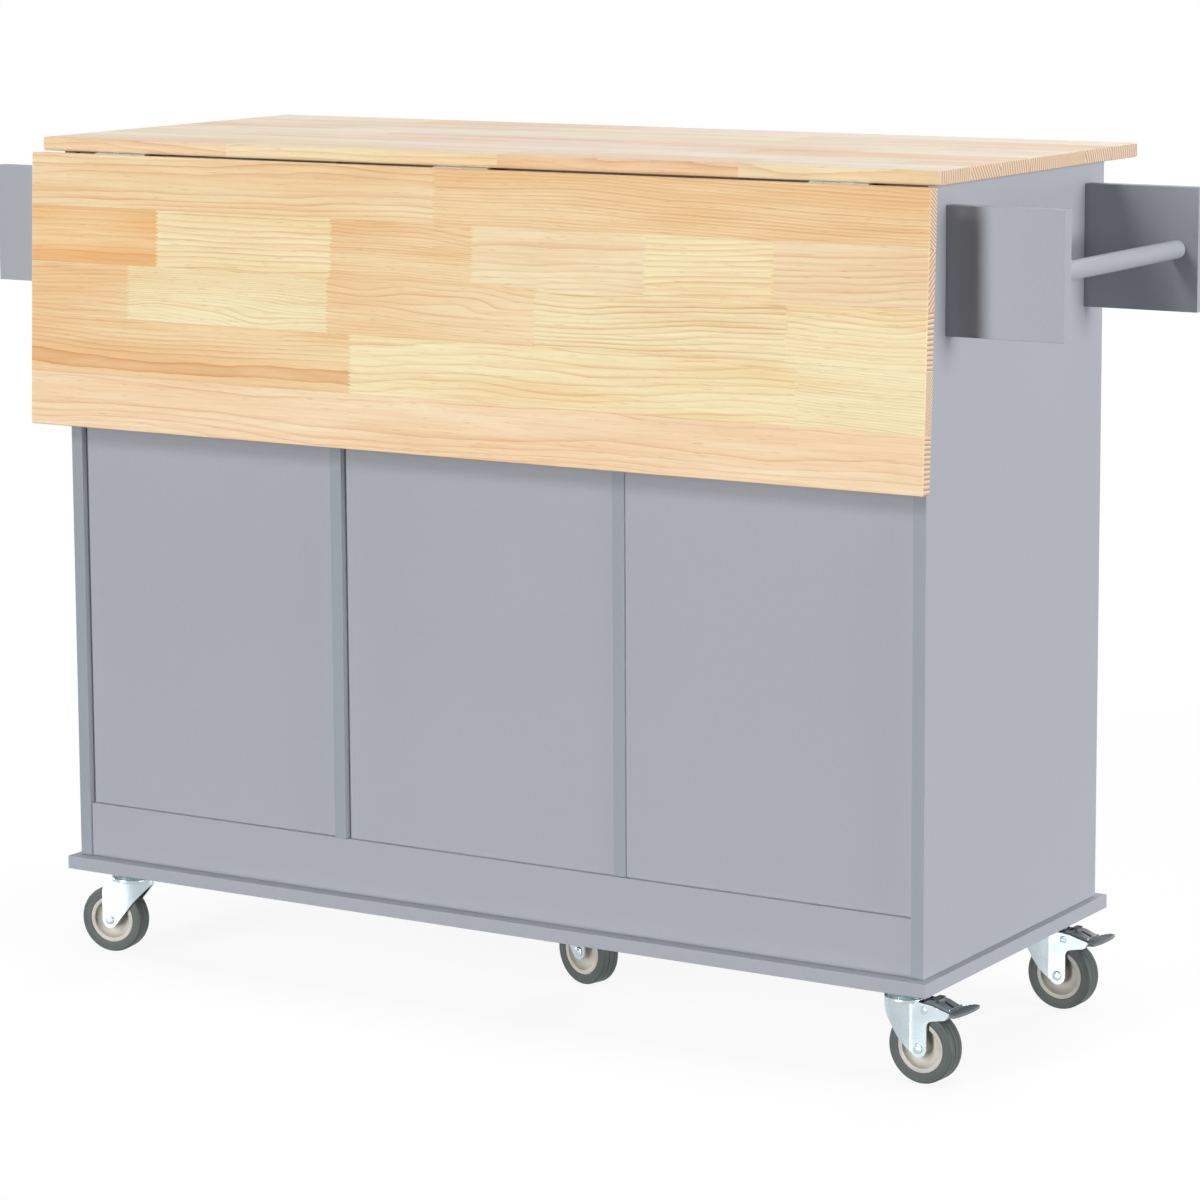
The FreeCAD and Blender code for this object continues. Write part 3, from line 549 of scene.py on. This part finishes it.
def tree_rings(finish, along, depth, across, random):
    """The rings of a trunk whose middle lies below or above the board, a little askew to it.

    Gives how late in its year the wood is, the waviness, and the spacing of the rings.
    """
    wander = finish.add("ShaderNodeCombineXYZ", {
        "X": finish.math("MULTIPLY", along, 2.2),
        "Y": finish.math("MULTIPLY", depth, 9),
        "Z": finish.math("MULTIPLY_ADD", across, 9, finish.math("MULTIPLY", random[0], 40)),
    }).outputs[0]
    sway = finish.math("SUBTRACT", finish.noise(wander, 1.6, 2, 0.45), 0.5)
    sway = finish.math("MULTIPLY", sway, finish.math("MULTIPLY_ADD", random[2], 1.2, 0.5))
    jitter = finish.math("SUBTRACT", finish.noise(wander, 9, 2, 0.5), 0.5)
    slant = finish.math("MULTIPLY", finish.math("SUBTRACT", random[1], 0.5), 0.07)
    offset = finish.math("MULTIPLY", finish.math("SUBTRACT", random[2], 0.5), 0.16)
    side = finish.math("FLOORED_MODULO", across, RING_FIELD)
    side = finish.math("ADD", finish.math("SUBTRACT", side, RING_FIELD / 2), offset)
    side = finish.math("MULTIPLY_ADD", along, slant, side)
    side = finish.math("MULTIPLY_ADD", sway, RING_SWAY, side)
    below = finish.math("MULTIPLY_ADD", random[0], RING_DEPTH[1], RING_DEPTH[0])
    below = finish.math("ADD", depth, below)
    radius = finish.math("SQRT", finish.math("ADD", finish.math("MULTIPLY", side, side),
                                             finish.math("MULTIPLY", below, below)))
    radius = finish.math("MULTIPLY_ADD", jitter, RING_JITTER, radius)
    spacing = finish.math("MULTIPLY_ADD", random[1], RING_SPACING[1], RING_SPACING[0])
    rings = finish.math("DIVIDE", radius, spacing)
    sharpness = finish.math("MULTIPLY_ADD", random[0], 3, 2.4)
    late = finish.math("POWER", finish.math("FRACT", rings), sharpness)
    year = finish.add("ShaderNodeTexWhiteNoise", {"W": finish.math("FLOOR", rings)},
                      noise_dimensions="1D").outputs["Value"]
    late = finish.math("MULTIPLY", late, finish.math("MULTIPLY_ADD", year, 0.7, 0.3))
    return late, sway, spacing


def end_grain(finish, depth, across, sway, spacing, chance):
    """Rings cut across at a board's end, aslant by block."""
    lean = finish.math("MULTIPLY", depth, finish.math("MULTIPLY_ADD", chance, 2.4, -1.2))
    cut = finish.math("ADD", finish.math("ADD", across, lean), finish.math("MULTIPLY", sway, 0.006))
    wide = finish.math("MULTIPLY_ADD", spacing, 0.7, 1.8 * MM)
    cut = finish.math("POWER", finish.math("FRACT", finish.math("DIVIDE", cut, wide)), 1.6)
    return finish.mix(finish.math("MULTIPLY", cut, 0.85), END_EARLY, END_LATE)


def finger_jointed(name, staves, place, turn, length, seed, coat, face_axis, painted_face_light):
    """Pine staves of finger-jointed blocks.

    The pattern's own frame has x along the grain, y through the board and -z across the staves.
    """
    finish = Finish(name, Specular_IOR_Level=0.35, Coat_Weight=coat, Coat_Roughness=0.5)
    local = finish.mapped(location=place, rotation=turn, kind="TEXTURE")
    along, depth, upward = finish.parted(local)
    across = finish.math("MULTIPLY", upward, -1)
    colour, strength, seams, stave = block_layout(finish, staves, along, across, length)
    random = block_chances(finish, colour, strength, stave, seed)
    late, sway, spacing = tree_rings(finish, along, depth, across, random)
    haze = finish.noise(finish.mapped((2.4, 24, 24), vector=local), 1, 2)
    streak = finish.noise(finish.mapped((5, 170, 170), vector=local), 1, 2, 0.5, 0.3)
    fibre = finish.noise(finish.mapped((14, 500, 500), vector=local), 1, 3, 0.6)
    fleck = finish.noise(finish.mapped((48, 800, 800), vector=local), 1, 1)
    wood = finish.tinted(finish.math("MULTIPLY", late, strength), colour, LATE_WOOD)
    wood = finish.mix(finish.between(haze, 0.5, 0.28, 0, 0.4), wood, PALE_HAZE)
    wood = finish.tinted(finish.between(haze, 0.42, 0.7, 0, 0.7), wood, ROSY_HAZE)
    wood = finish.tinted(finish.between(streak, 0.46, 0.7, 0, 0.35), wood, STREAK)
    wood = finish.tinted(finish.between(fibre, 0.42, 0.75, 0, 0.4), wood, FIBRE)
    wood = finish.mix(finish.between(fleck, 0.66, 0.78, 0, 0.45), wood, FLECK)
    wood = finish.mix(finish.math("MULTIPLY", seams, 0.35), wood, SEAM)
    # The broad faces get a painted light tint and the long edges a painted shade, chosen by which
    # way they face; the ends their own grain
    normal = finish.parted(finish.coordinates.outputs["Normal"])
    face = finish.between(finish.math("ABSOLUTE", normal[face_axis]), 0.7, 0.9, 0, 1)
    end = finish.between(finish.math("ABSOLUTE", normal[0]), 0.7, 0.95, 0, 1)
    wood = finish.mix(face, finish.mix(1.0, wood, PAINTED_EDGE_SHADE, "MULTIPLY"),
                      finish.mix(1.0, wood, painted_face_light, "MULTIPLY"))
    wood = finish.mix(end, wood, end_grain(finish, depth, across, sway, spacing, random[1]))
    finish.colour(wood)
    finish.roughness(finish.between(late, 0, 1, 0.64, 0.56))
    finish.bump(finish.math("ADD", finish.math("MULTIPLY", late, 0.6), fibre), 0.05 * MM, 0.6)
    return finish.material


# The leaf hangs from its hinge pin, leaning out. KNUCKLE is from the pin to the boards beside it.
LEAN = radians(2.5)
KNUCKLE = 2.8 * MM
LEAF_RISE = 1.5 * MM
LEAF_DROP = 301.5 * MM
LEAF_THICK = 15 * MM
top_low, top_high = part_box("tabletop")
TOP_LONG = top_high.x - top_low.x
PIN = Vector((0, top_low.y - 2.5 * MM, top_low.z - KNUCKLE))
LEAF_TURN = Matrix.Rotation(-LEAN, 4, "X")

PAINT_COLOUR = shade(172, 175, 184)
BOARD_PAINT = painted("grey_blue_paint", PAINT_COLOUR)
BANDED_PAINT = painted("grey_blue_paint_with_edge_band", PAINT_COLOUR, (0.82, 0.86, 0.87, 1))
# The leaf's broad faces are lifted a little by a painted light tint.
LEAF_WOOD = finger_jointed(
    "leaf_pine", LEAF_STAVES, place=PIN + LEAF_TURN @ Vector((0, 0, LEAF_RISE)),
    turn=(-LEAN, 0, 0), length=TOP_LONG, seed=3, coat=0.12, face_axis=1,
    painted_face_light=(1, 1.03, 1.05, 1))
# The worktop's broad faces carry a painted reflection: a pale bluish tint that stands in for the
# white studio mirrored in them.
TOP_WOOD = finger_jointed(
    "worktop_pine", TOP_STAVES, place=(0, top_low.y, top_high.z),
    turn=(radians(90), 0, 0), length=TOP_LONG, seed=11, coat=0.3, face_axis=2,
    painted_face_light=(0.93, 1.02, 1.35, 1))
ZINC = plated("bright_zinc", shade(188, 200, 205), 0.27, (12, 12, 12))
NICKEL = plated("brushed_nickel", shade(196, 194, 190), 0.3, (200, 30, 30))
TYRE = moulded("grey_rubber", shade(75, 83, 81), 0.5)
RIM = moulded("cream_plastic", shade(205, 201, 191), 0.42)
PEDAL = moulded("dark_plastic", shade(106, 112, 118), 0.42)
DRAWER_WOOD = plain_pine("drawer_pine", shade(232, 208, 168))


# Boards

def boards(node, finish, ease=0.8):
    """Every solid of a node of plain boards, made again with eased edges."""
    pieces = [block(low, high, ease * MM) for low, high in solids(node)]
    finished(pieces, node + "_boards", node, finish)


def make_boards():
    for node in ("left_side_panel", "right_side_panel", "left_partition", "right_partition"):
        boards(node, BANDED_PAINT)
    for node in ("base_board", "floor_panel", "back_plinth", "front_plinth", "top_rails",
                 "towel_brackets", "spice_brackets", "spice_shelf"):
        boards(node, BOARD_PAINT)
    boards("back_panels", BOARD_PAINT, ease=0.4)
    boards("bay_shelves", BOARD_PAINT)
    boards("tabletop", TOP_WOOD, 1.6)


def make_leaf():
    low = Vector((top_low.x, -KNUCKLE - LEAF_THICK, -LEAF_DROP))
    high = Vector((top_high.x, -KNUCKLE, LEAF_RISE))
    leaf = block(low, high, 1.6 * MM, 3)
    leaf.data.transform(Matrix.Translation(PIN) @ LEAF_TURN)
    finished(leaf, "drop_leaf_board", "drop_leaf", LEAF_WOOD)


def make_bars():
    """The towel bar and the spice rack's rail, with softened ends."""
    soft = 0.6 * MM
    for node, radius in (("towel_bar", 9.8 * MM), ("spice_rail", 6 * MM)):
        low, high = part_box(node)
        half = (high.y - low.y) / 2
        bar = spun([(0, -half), (radius - soft, -half), (radius, soft - half),
                    (radius, half - soft), (radius - soft, half), (0, half)], 64, "Y")
        finished(moved(bar, (low + high) / 2), node + "_rod", node, BOARD_PAINT)


# Fronts and knobs

FRAME_WIDE = 48 * MM
FRAME_LIP = 1.0 * MM
FRAME_SLOPE = 1.2 * MM
FIELD_SUNK = 3.0 * MM
KNOB_PROUD = 22 * MM
KNOB_PROFILE = mm([
    (0, 0), (8.6, 0), (9, 0.5), (9, 2.4), (8.4, 3), (6.6, 3.4), (6, 4.5), (5.9, 9), (6.4, 11.2),
    (8.6, 12.6), (12.6, 13.4), (14.6, 14.2), (15, 15.4), (14.3, 17.2), (12.2, 19.2), (8.8, 20.8),
    (4.6, 21.8), (0, 22)])


def sunk(depth):
    bpy.ops.mesh.extrude_region_move(TRANSFORM_OT_translate={"value": (0, -depth, 0)})


def framed_front(node):
    """A front with a frame round a shallow sunk field."""
    front = box(*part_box(node))
    edit(front)
    pick(front, lambda place, normal: normal.y > 0.9)
    bpy.ops.mesh.inset(thickness=FRAME_WIDE - FRAME_SLOPE, depth=0)
    sunk(FRAME_LIP)
    bpy.ops.mesh.inset(thickness=FRAME_SLOPE, depth=0)
    sunk(FIELD_SUNK)
    leave()
    finished(eased(front, 0.7 * MM), node + "_board", node, BOARD_PAINT)


def knob(node):
    low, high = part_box(node)
    middle = (low + high) / 2
    piece = moved(spun(KNOB_PROFILE, 48, "Y"), (middle.x, high.y - KNOB_PROUD, middle.z))
    finished(piece, node + "_turned", node, NICKEL, 50)


def make_fronts():
    for node in ("middle_door", "right_door"):
        framed_front(node)
        knob(node + "_knob")
    for number in (1, 2, 3):
        framed_front("drawer_%d_front" % number)
        knob("drawer_%d_knob" % number)
        boards("drawer_%d_box" % number, DRAWER_WOOD)


# Small steel

def steel_copy(node, ease):
    """The node's own shape with its sharp edges softened."""
    piece = eased(merged_copy(node), ease * MM, 2, 40)
    finished(piece, node + "_steel", node, ZINC)


def make_small_steel():
    for node in ("leaf_hinge_table_plates", "leaf_hinge_leaf_plates", "fold_bracket_wall_arms",
                 "fold_bracket_braces", "fold_bracket_leaf_arms", "drawer_runners", "door_pivots"):
        steel_copy(node, 0.15)
    for node in ("leaf_hinge_pins", "shelf_pins", "caster_screws"):
        steel_copy(node, 0.3)


# Casters: made at the origin with the kingpin on the Z axis and the wheel trailing along +X.
# Plain numbers are millimetres; mm() and MM turn them into metres. HALF is from the middle to
# a cheek's outer face, and PIN_REACH is half the length of the axle and of the pedal's pin.

TRAIL = 22
AXLE = 38
FOOT = 9.5
HALF = 15
SHEET = 2.5
PEDAL_PIN = (29, 79.5)
PIN_REACH = HALF - 1
AXLE_SPOT = (TRAIL * MM, 0, AXLE * MM)
PIN_SPOT = (PEDAL_PIN[0] * MM, 0, PEDAL_PIN[1] * MM)

# Each caster's direction in degrees, and whether it has a brake
CASTERS = {
    "rear_right": (-4.5, True),
    "front_right": (-2, True),
    "rear_left": (189.5, False),
    "front_left": (186, False),
    "middle": (-15.5, False),
}

# The sheet's outline after its round foot, and its rounded corners counted from the end
CHEEK_FOOT = [(TRAIL + FOOT * cos(radians(angle)), AXLE + FOOT * sin(radians(angle)))
              for angle in range(0, -151, -15)]
BRAKED_CHEEK = [
    (6, 38), (-2.5, 44.5), (-10, 53), (-11.5, 55.5), (-19, 64), (-24.5, 72.5), (-27, 80), (-27, 87),
    (17, 87), (36, 85.6), (59, 79.6), (54.5, 72.2), (31.6, 67.4)]
BRAKED_CORNERS = [(-1, 6), (-2, 2.2), (-3, 1.6)]
PLAIN_CHEEK = [(-7, 60), (-24, 78), (-27, 82), (-27, 87), (16, 87), (25, 85), (31.6, 76)]
PLAIN_CORNERS = [(-1, 6), (-2, 4)]

# The sheet starts to wrap round the kingpin at its crease, behind a low pressed ridge
CREASE = 11
WRAP_REACH = 38
WRAP_FULLNESS = 1.6
WRAP_CUTS = [CREASE - WRAP_REACH * (1 - (1 - step / 16) ** 2) for step in range(16)]
FLAT_CUTS = [12, 13, 14, 18, 26]
RIDGE_AT = 12
RIDGE_HALF = 2
RIDGE_HIGH = 0.3

ROOF = ((-13, -13.6, 84.4), (17, 13.6, 87))
PLATE = ((-30, -30, 97.5), (30, 30, 100))
CROWN_PROFILE = mm([
    (4.05, 84.5), (22.6, 84.5), (23.6, 84.9), (24, 85.8), (24, 87.6), (23.4, 88.8), (20, 91.4),
    (18.8, 93), (17.8, 94), (4.05, 94), (4.05, 84.5)])
RACE_PROFILE = mm([
    (4, 94.3), (21.6, 94.3), (23.2, 94.8), (24, 95.8), (24, 97.8), (4, 97.8), (4, 94.3)])
KINGPIN_PROFILE = mm([
    (0, 81.7), (5.8, 81.7), (6.5, 82.3), (6.5, 84.2), (4, 84.2), (4, 97.6), (0, 97.6)])
HUB_PROFILE = mm([(2.05, -12.1), (3.6, -12.1), (3.6, 12.1), (2.05, 12.1), (2.05, -12.1)])

# Half of the tyre's and of the rim's section, from one face to the middle
TYRE_HALF = [
    (26.8, -10.7), (27.4, -11), (33.2, -11), (33.6, -10.75), (34, -11), (35.8, -11), (36.6, -10.75),
    (37.3, -10.1), (37.75, -9.3), (38, -8.4), (38, -4.3), (37.5, -3.9), (37.5, -3.3), (38, -2.9)]
RIM_HALF = [
    (3.05, -12.2), (7, -12.2), (7.7, -11.8), (8, -6.4), (8.8, -4.4), (10.5, -3.6), (13, -3.4),
    (16.5, -4), (19.2, -5.4), (20.8, -7.2), (21.6, -9), (22, -9.9), (22.7, -10.3), (26, -10.5),
    (26.6, -10.2), (26.8, -9.6)]

# The pedal seen from the side, then its tread seen from above on one side of the middle, with
# the whole tread's corners that are rounded
LEVER_FRONT = [(25.5, 82.6), (27.2, 87.5), (31.5, 89.3), (43.7, 87.7)]
LEVER_UNDER = [(57.5, 82.4), (61, 82.2), (61, 79.5), (53.5, 78.6), (40.2, 79.5), (33.9, 76.9),
               (31.1, 76.7)]
GROOVE_FLOOR = [(44.3, 80.6), (56, 80.6), (56, 82.7)]
MIDDLE_BLOCK = [(32.4, 87), (33.6, 91), (34.6, 91.5), (41.2, 90.4), (42.2, 89.6), (43.4, 86.6)]
SHOE = [(40, 80), (53, 79.3), (52.4, 72), (50.5, 70.1), (41, 76.3)]
TREAD = [(57.4, 12.1), (60, 13.2), (65, 26), (71, 26), (73.2, 16), (74, 7)]
TREAD_CORNERS = (((2, 9), 0.8 * MM), ((3, 8), 1.5 * MM))
TREAD_MIDDLE = 80.9
RAIL_THICK = 10.1
RAIL_OFF = 7.05
GROOVE_WIDE = 4.4
MIDDLE_WIDE = 12.6
SHOE_WIDE = 18
PAD_SPAN = (31.4, 39)
PAD_RISE = (86, 90.1)
PAD_OFF = 9.3
PAD_HALF = 2.6
PAD_WALL = 1.1
PAD_HOLLOW = 2.6
RIB_COUNT = 6
RIB_FIRST = 61.6
RIB_STEP = 1.8
RIB_BASE = 82.4
RIB_LONGEST = 22.5
RIB_SHORT_OF_SIDE = 2.5
FLARE_SLOPE = 2.56
EDGE_STRIP = ((56.7, -12.3, 81.8), (58.2, 12.3, 84))


def fork_sheet(braked):
    """The pressed sheet of a fork: flat beside the wheel, wrapped round the kingpin at its nose."""
    outline = mm(CHEEK_FOOT + (BRAKED_CHEEK if braked else PLAIN_CHEEK))
    near = sheet_from(outline)
    edit(near)
    for index, radius in BRAKED_CORNERS if braked else PLAIN_CORNERS:
        spot = Vector((outline[index][0], 0, outline[index][1]))
        round_corners(near, [spot], radius * MM, clamp_overlap=True)
    for place in WRAP_CUTS + FLAT_CUTS:
        bpy.ops.mesh.select_mode(type="FACE")
        bpy.ops.mesh.select_all(action="SELECT")
        bpy.ops.mesh.bisect(plane_co=(place * MM, 0, 0), plane_no=(1, 0, 0))
    leave()
    for vertex in near.data.vertices:
        share = min(1.0, max(0.0, CREASE * MM - vertex.co.x) / (WRAP_REACH * MM))
        ridge = RIDGE_HIGH * max(0.0, 1 - abs(vertex.co.x / MM - RIDGE_AT) / RIDGE_HALF)
        vertex.co.y = -HALF * MM * sqrt(max(0.0, 1 - share ** WRAP_FULLNESS)) - ridge * MM
    far = copied(near)
    far.data.transform(Matrix.Scale(-1, 4, (0, 1, 0)))
    sheet = join([near, far])
    edit(sheet)
    bpy.ops.mesh.remove_doubles(threshold=SAME_PLACE)
    bpy.ops.mesh.normals_make_consistent(inside=False)
    leave()
    if sum(face.normal.y * face.center.y for face in sheet.data.polygons) < 0:
        edit(sheet)
        bpy.ops.mesh.flip_normals()
        leave()
    apply_modifier(sheet, "SOLIDIFY", thickness=SHEET * MM, offset=-1, use_even_offset=True)
    return sheet


def rivet(radius, thick, side, x, z):
    """A riveted head with a raised middle, on the outer face of one cheek."""
    outline = [(0, -0.6), (radius * 0.98, -0.6), (radius, 0), (radius * 0.97, thick * 0.4),
               (radius * 0.8, thick * 0.62), (radius * 0.56, thick * 0.66),
               (radius * 0.48, thick * 0.94), (radius * 0.3, thick), (0, thick)]
    head = spun(mm(outline), 32, "Y")
    if side < 0:
        head.data.transform(Matrix.Rotation(pi, 4, "Z"))
    return moved(head, (x * MM, side * HALF * MM, z * MM))


def make_fork(braked):
    crown = spun(CROWN_PROFILE, 64)
    roof = mm_block(*ROOF, 0.6)
    axle = moved(rod(3 * MM, PIN_REACH * MM, 24), AXLE_SPOT)
    pieces = [fork_sheet(braked), crown, roof, axle]
    for side in (-1, 1):
        pieces.append(rivet(5.5, 2.4, side, TRAIL, AXLE))
        if braked:
            pieces.append(rivet(4, 1.2, side, *PEDAL_PIN))
    if braked:
        pieces.append(moved(rod(2 * MM, PIN_REACH * MM, 20), PIN_SPOT))
    return eased(join(pieces), 0.3 * MM, 2, 40)


def wheel_ring(half_section):
    """A ring round the axle from half of its section."""
    section = half_section + [(radius, -height) for radius, height in reversed(half_section)]
    return moved(spun(mm(section + section[:1]), 96, "Y"), AXLE_SPOT)


def pedal_pad(side):
    """A small hollow pad beside the pedal's middle block."""
    middle = side * PAD_OFF
    pad = mm_block((PAD_SPAN[0], middle - PAD_HALF, PAD_RISE[0]),
                   (PAD_SPAN[1], middle + PAD_HALF, PAD_RISE[1]), 0.4)
    edit(pad)
    pick(pad, lambda place, normal: normal.z > 0.9)
    bpy.ops.mesh.inset(thickness=PAD_WALL * MM, depth=0)
    bpy.ops.mesh.extrude_region_move(TRANSFORM_OT_translate={"value": (0, 0, -PAD_HOLLOW * MM)})
    leave()
    return pad


def pedal_rib(back):
    """A rib across the tread, that ends short of the tread's flaring sides."""
    flare_back, flare_half = TREAD[1]
    side = flare_half + FLARE_SLOPE * (back - flare_back)
    half = min(RIB_LONGEST, side - RIB_SHORT_OF_SIDE)
    rib = mm_block((-0.45, -half, -0.4), (0.45, half, 0.6), 0.12)
    return moved(rib, (back * MM, 0, RIB_BASE * MM))


def make_pedal():
    """A lever of two rails and a middle block, a shoe below, and a ribbed tread that flares out."""
    rail = eased(plate_from(mm(LEVER_FRONT + LEVER_UNDER), RAIL_THICK * MM), 0.6 * MM, 3, 25)
    far_rail = copied(rail)
    moved(rail, (0, -RAIL_OFF * MM, 0))
    moved(far_rail, (0, RAIL_OFF * MM, 0))
    floor = plate_from(mm(LEVER_FRONT + GROOVE_FLOOR + LEVER_UNDER), GROOVE_WIDE * MM)
    middle = eased(plate_from(mm(MIDDLE_BLOCK), MIDDLE_WIDE * MM), 0.8 * MM, 3, 25)
    shoe = eased(plate_from(mm(SHOE), SHOE_WIDE * MM), 0.5 * MM)
    pieces = [rail, far_rail, floor, middle, shoe, pedal_pad(-1), pedal_pad(1)]
    fan = TREAD + [(back, -across) for back, across in reversed(TREAD)]
    sole = plate_from(mm(fan), 3 * MM, TREAD_CORNERS)
    sole.data.transform(Matrix.Translation((0, 0, TREAD_MIDDLE * MM))
                        @ Matrix.Rotation(radians(90), 4, "X"))
    pieces.append(eased(sole, 0.35 * MM))
    pieces += [pedal_rib(RIB_FIRST + RIB_STEP * step) for step in range(RIB_COUNT)]
    pieces.append(moved(spun(HUB_PROFILE, 28, "Y"), PIN_SPOT))
    return join(pieces)


def make_edge_strip():
    """The thin steel edge across a pedal, where the lever ends and the tread begins."""
    return mm_block(*EDGE_STRIP, 0.25, 3)


def make_plate():
    """A mounting plate with its ball race and kingpin."""
    plate = mm_block(*PLATE, 0.4)
    return join([plate, spun(RACE_PROFILE, 64), spun(KINGPIN_PROFILE, 32)])


def caster_places():
    """The middle of each plate, matched to the casters by which fork hangs under it."""
    middles = [((low + high) / 2).xy for low, high in solids("caster_plates")]
    places = []
    for name in CASTERS:
        low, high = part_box("caster_%s_fork" % name)
        middle = ((low + high) / 2).xy
        places.append(min(middles, key=lambda spot: (spot - middle).length))
    return places


def make_casters():
    """Every caster from one model of each of its parts."""
    forks = {True: make_fork(True), False: make_fork(False)}
    moulded_parts = {
        "tyre": (wheel_ring(TYRE_HALF), TYRE, "tyre_rubber"),
        "rim": (wheel_ring(RIM_HALF), RIM, "rim_plastic"),
        "brake_pedal": (make_pedal(), PEDAL, "pedal_plastic"),
    }
    plate = make_plate()
    strip = make_edge_strip()
    plates = []
    for middle, (name, (angle, braked)) in zip(caster_places(), CASTERS.items()):
        place = Vector((*middle, 0))
        turn = radians(angle)
        plates.append(moved(copied(plate), place))
        fork = moved(copied(forks[braked]), place, turn)
        finished(fork, "caster_%s_pressed_fork" % name, "caster_%s_fork" % name, ZINC)
        for part, (model, finish, slot) in moulded_parts.items():
            if part == "brake_pedal" and not braked:
                continue
            piece = moved(copied(model), place, turn)
            finished(piece, "caster_%s_%s_moulded" % (name, part), "caster_%s_%s" % (name, part),
                     finish)
        if braked:
            pedal_body = frame["nodes"]["caster_%s_brake_pedal" % name]["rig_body"]
            finished(moved(copied(strip), place, turn), "caster_%s_pedal_edge_strip" % name, None,
                     ZINC, body=pedal_body)
    finished(plates, "caster_mounting_plates", "caster_plates", ZINC)
    models = [model for model, finish, slot in moulded_parts.values()]
    for piece in [*forks.values(), *models, plate, strip]:
        bpy.data.objects.remove(piece)


# Camera, light and floor

CAMERA_PLACE = (2.4175, -3.8736, 1.2358)
CAMERA_TURN = 31.595
CAMERA_DOWN = 8.407
CAMERA_ROLL = -0.292
CAMERA_LENS = 125.57
CAMERA_SHIFT = -0.1

# Each sun: its name, where it shines from, its strength and how many degrees wide it is
SUNS = [
    ("key", (-0.3, -1, -0.15), 0.89, 14),
    ("key", (-0.3, -1, 0.15), 0.89, 14),
    ("key", (-0.3, -1, 0.5), 0.89, 14),
    ("right_fill", (1, 0.02, 0.1), 2.8, 25),
    ("left_fill", (-1, 0.1, 0.1), 1.9, 25),
    ("top_fill", (0.1, 0, 1), 1.12, 30),
    ("door_fill", (-0.15, 1, 0.1), 2.3, 25),
]

# What the studio and its floor give to a ray that isn't seen or mirrored, and to one that is
STUDIO_STRENGTH = (0.02, 1.0)
FLOOR_TONE = (0.07, 0.9)
FLOOR_GLOW_SHARE = (0.0, 0.85)
FLOOR_GLOW = 1.05
WHITE = (1, 1, 1, 1)


def make_camera():
    clear_selection()
    turn = (Matrix.Rotation(radians(CAMERA_TURN), 3, "Z")
            @ Matrix.Rotation(radians(90 - CAMERA_DOWN), 3, "X")
            @ Matrix.Rotation(radians(CAMERA_ROLL), 3, "Z"))
    bpy.ops.object.camera_add(location=CAMERA_PLACE, rotation=turn.to_euler())
    camera = bpy.context.object
    camera.name = "photograph_view"
    camera.data.sensor_width = 36
    camera.data.lens = CAMERA_LENS
    camera.data.shift_y = CAMERA_SHIFT
    bpy.context.scene.camera = camera


def make_lights():
    """Three lamps in front, one above another and a little to the left, and one on each side."""
    for name, direction, strength, spread in SUNS:
        clear_selection()
        turn = Vector(direction).to_track_quat("Z", "Y").to_euler()
        bpy.ops.object.light_add(type="SUN", rotation=turn)
        lamp = bpy.context.object
        lamp.name = name
        lamp.data.energy = strength
        lamp.data.angle = radians(spread)


def by_ray(tree, unseen, seen):
    """One number for rays from the camera, a mirror or clear glass, and another for the rest."""
    path = tree.nodes.new("ShaderNodeLightPath")
    total = path.outputs["Is Camera Ray"]
    for name in ("Is Glossy Ray", "Is Transmission Ray"):
        both = tree.nodes.new("ShaderNodeMath")
        both.operation = "MAXIMUM"
        tree.links.new(total, both.inputs[0])
        tree.links.new(path.outputs[name], both.inputs[1])
        total = both.outputs[0]
    choice = tree.nodes.new("ShaderNodeMapRange")
    tree.links.new(total, choice.inputs["Value"])
    choice.inputs["To Min"].default_value = unseen
    choice.inputs["To Max"].default_value = seen
    return choice.outputs["Result"]


def make_world():
    world = bpy.data.worlds.new("studio")
    bpy.context.scene.world = world
    world.use_nodes = True
    tree = world.node_tree
    background = tree.nodes["Background"]
    background.inputs["Color"].default_value = WHITE
    tree.links.new(by_ray(tree, *STUDIO_STRENGTH), background.inputs["Strength"])


def make_floor():
    """A wide pale floor that glows where it is seen, and still keeps the island's shadow."""
    clear_selection()
    bpy.ops.mesh.primitive_circle_add(vertices=96, radius=14, fill_type="NGON",
                                      location=(0, 0, -0.5 * MM))
    floor = settle(bpy.context.object)
    floor.name = "studio_floor"
    material = bpy.data.materials.new("pale_floor")
    material.use_nodes = True
    tree = material.node_tree
    shader = tree.nodes["Principled BSDF"]
    shader.inputs["Roughness"].default_value = 0.9
    tree.links.new(by_ray(tree, *FLOOR_TONE), shader.inputs["Base Color"])
    glow = tree.nodes.new("ShaderNodeEmission")
    glow.inputs["Color"].default_value = WHITE
    glow.inputs["Strength"].default_value = FLOOR_GLOW
    blend = tree.nodes.new("ShaderNodeMixShader")
    tree.links.new(by_ray(tree, *FLOOR_GLOW_SHARE), blend.inputs[0])
    tree.links.new(shader.outputs[0], blend.inputs[1])
    tree.links.new(glow.outputs[0], blend.inputs[2])
    tree.links.new(blend.outputs[0], tree.nodes["Material Output"].inputs["Surface"])
    floor.data.materials.append(material)
    floor.visible_shadow = False


bpy.context.scene.view_settings.view_transform = "Standard"
make_camera()
make_lights()
make_world()
make_floor()
make_boards()
make_leaf()
make_bars()
make_fronts()
make_small_steel()
make_casters()
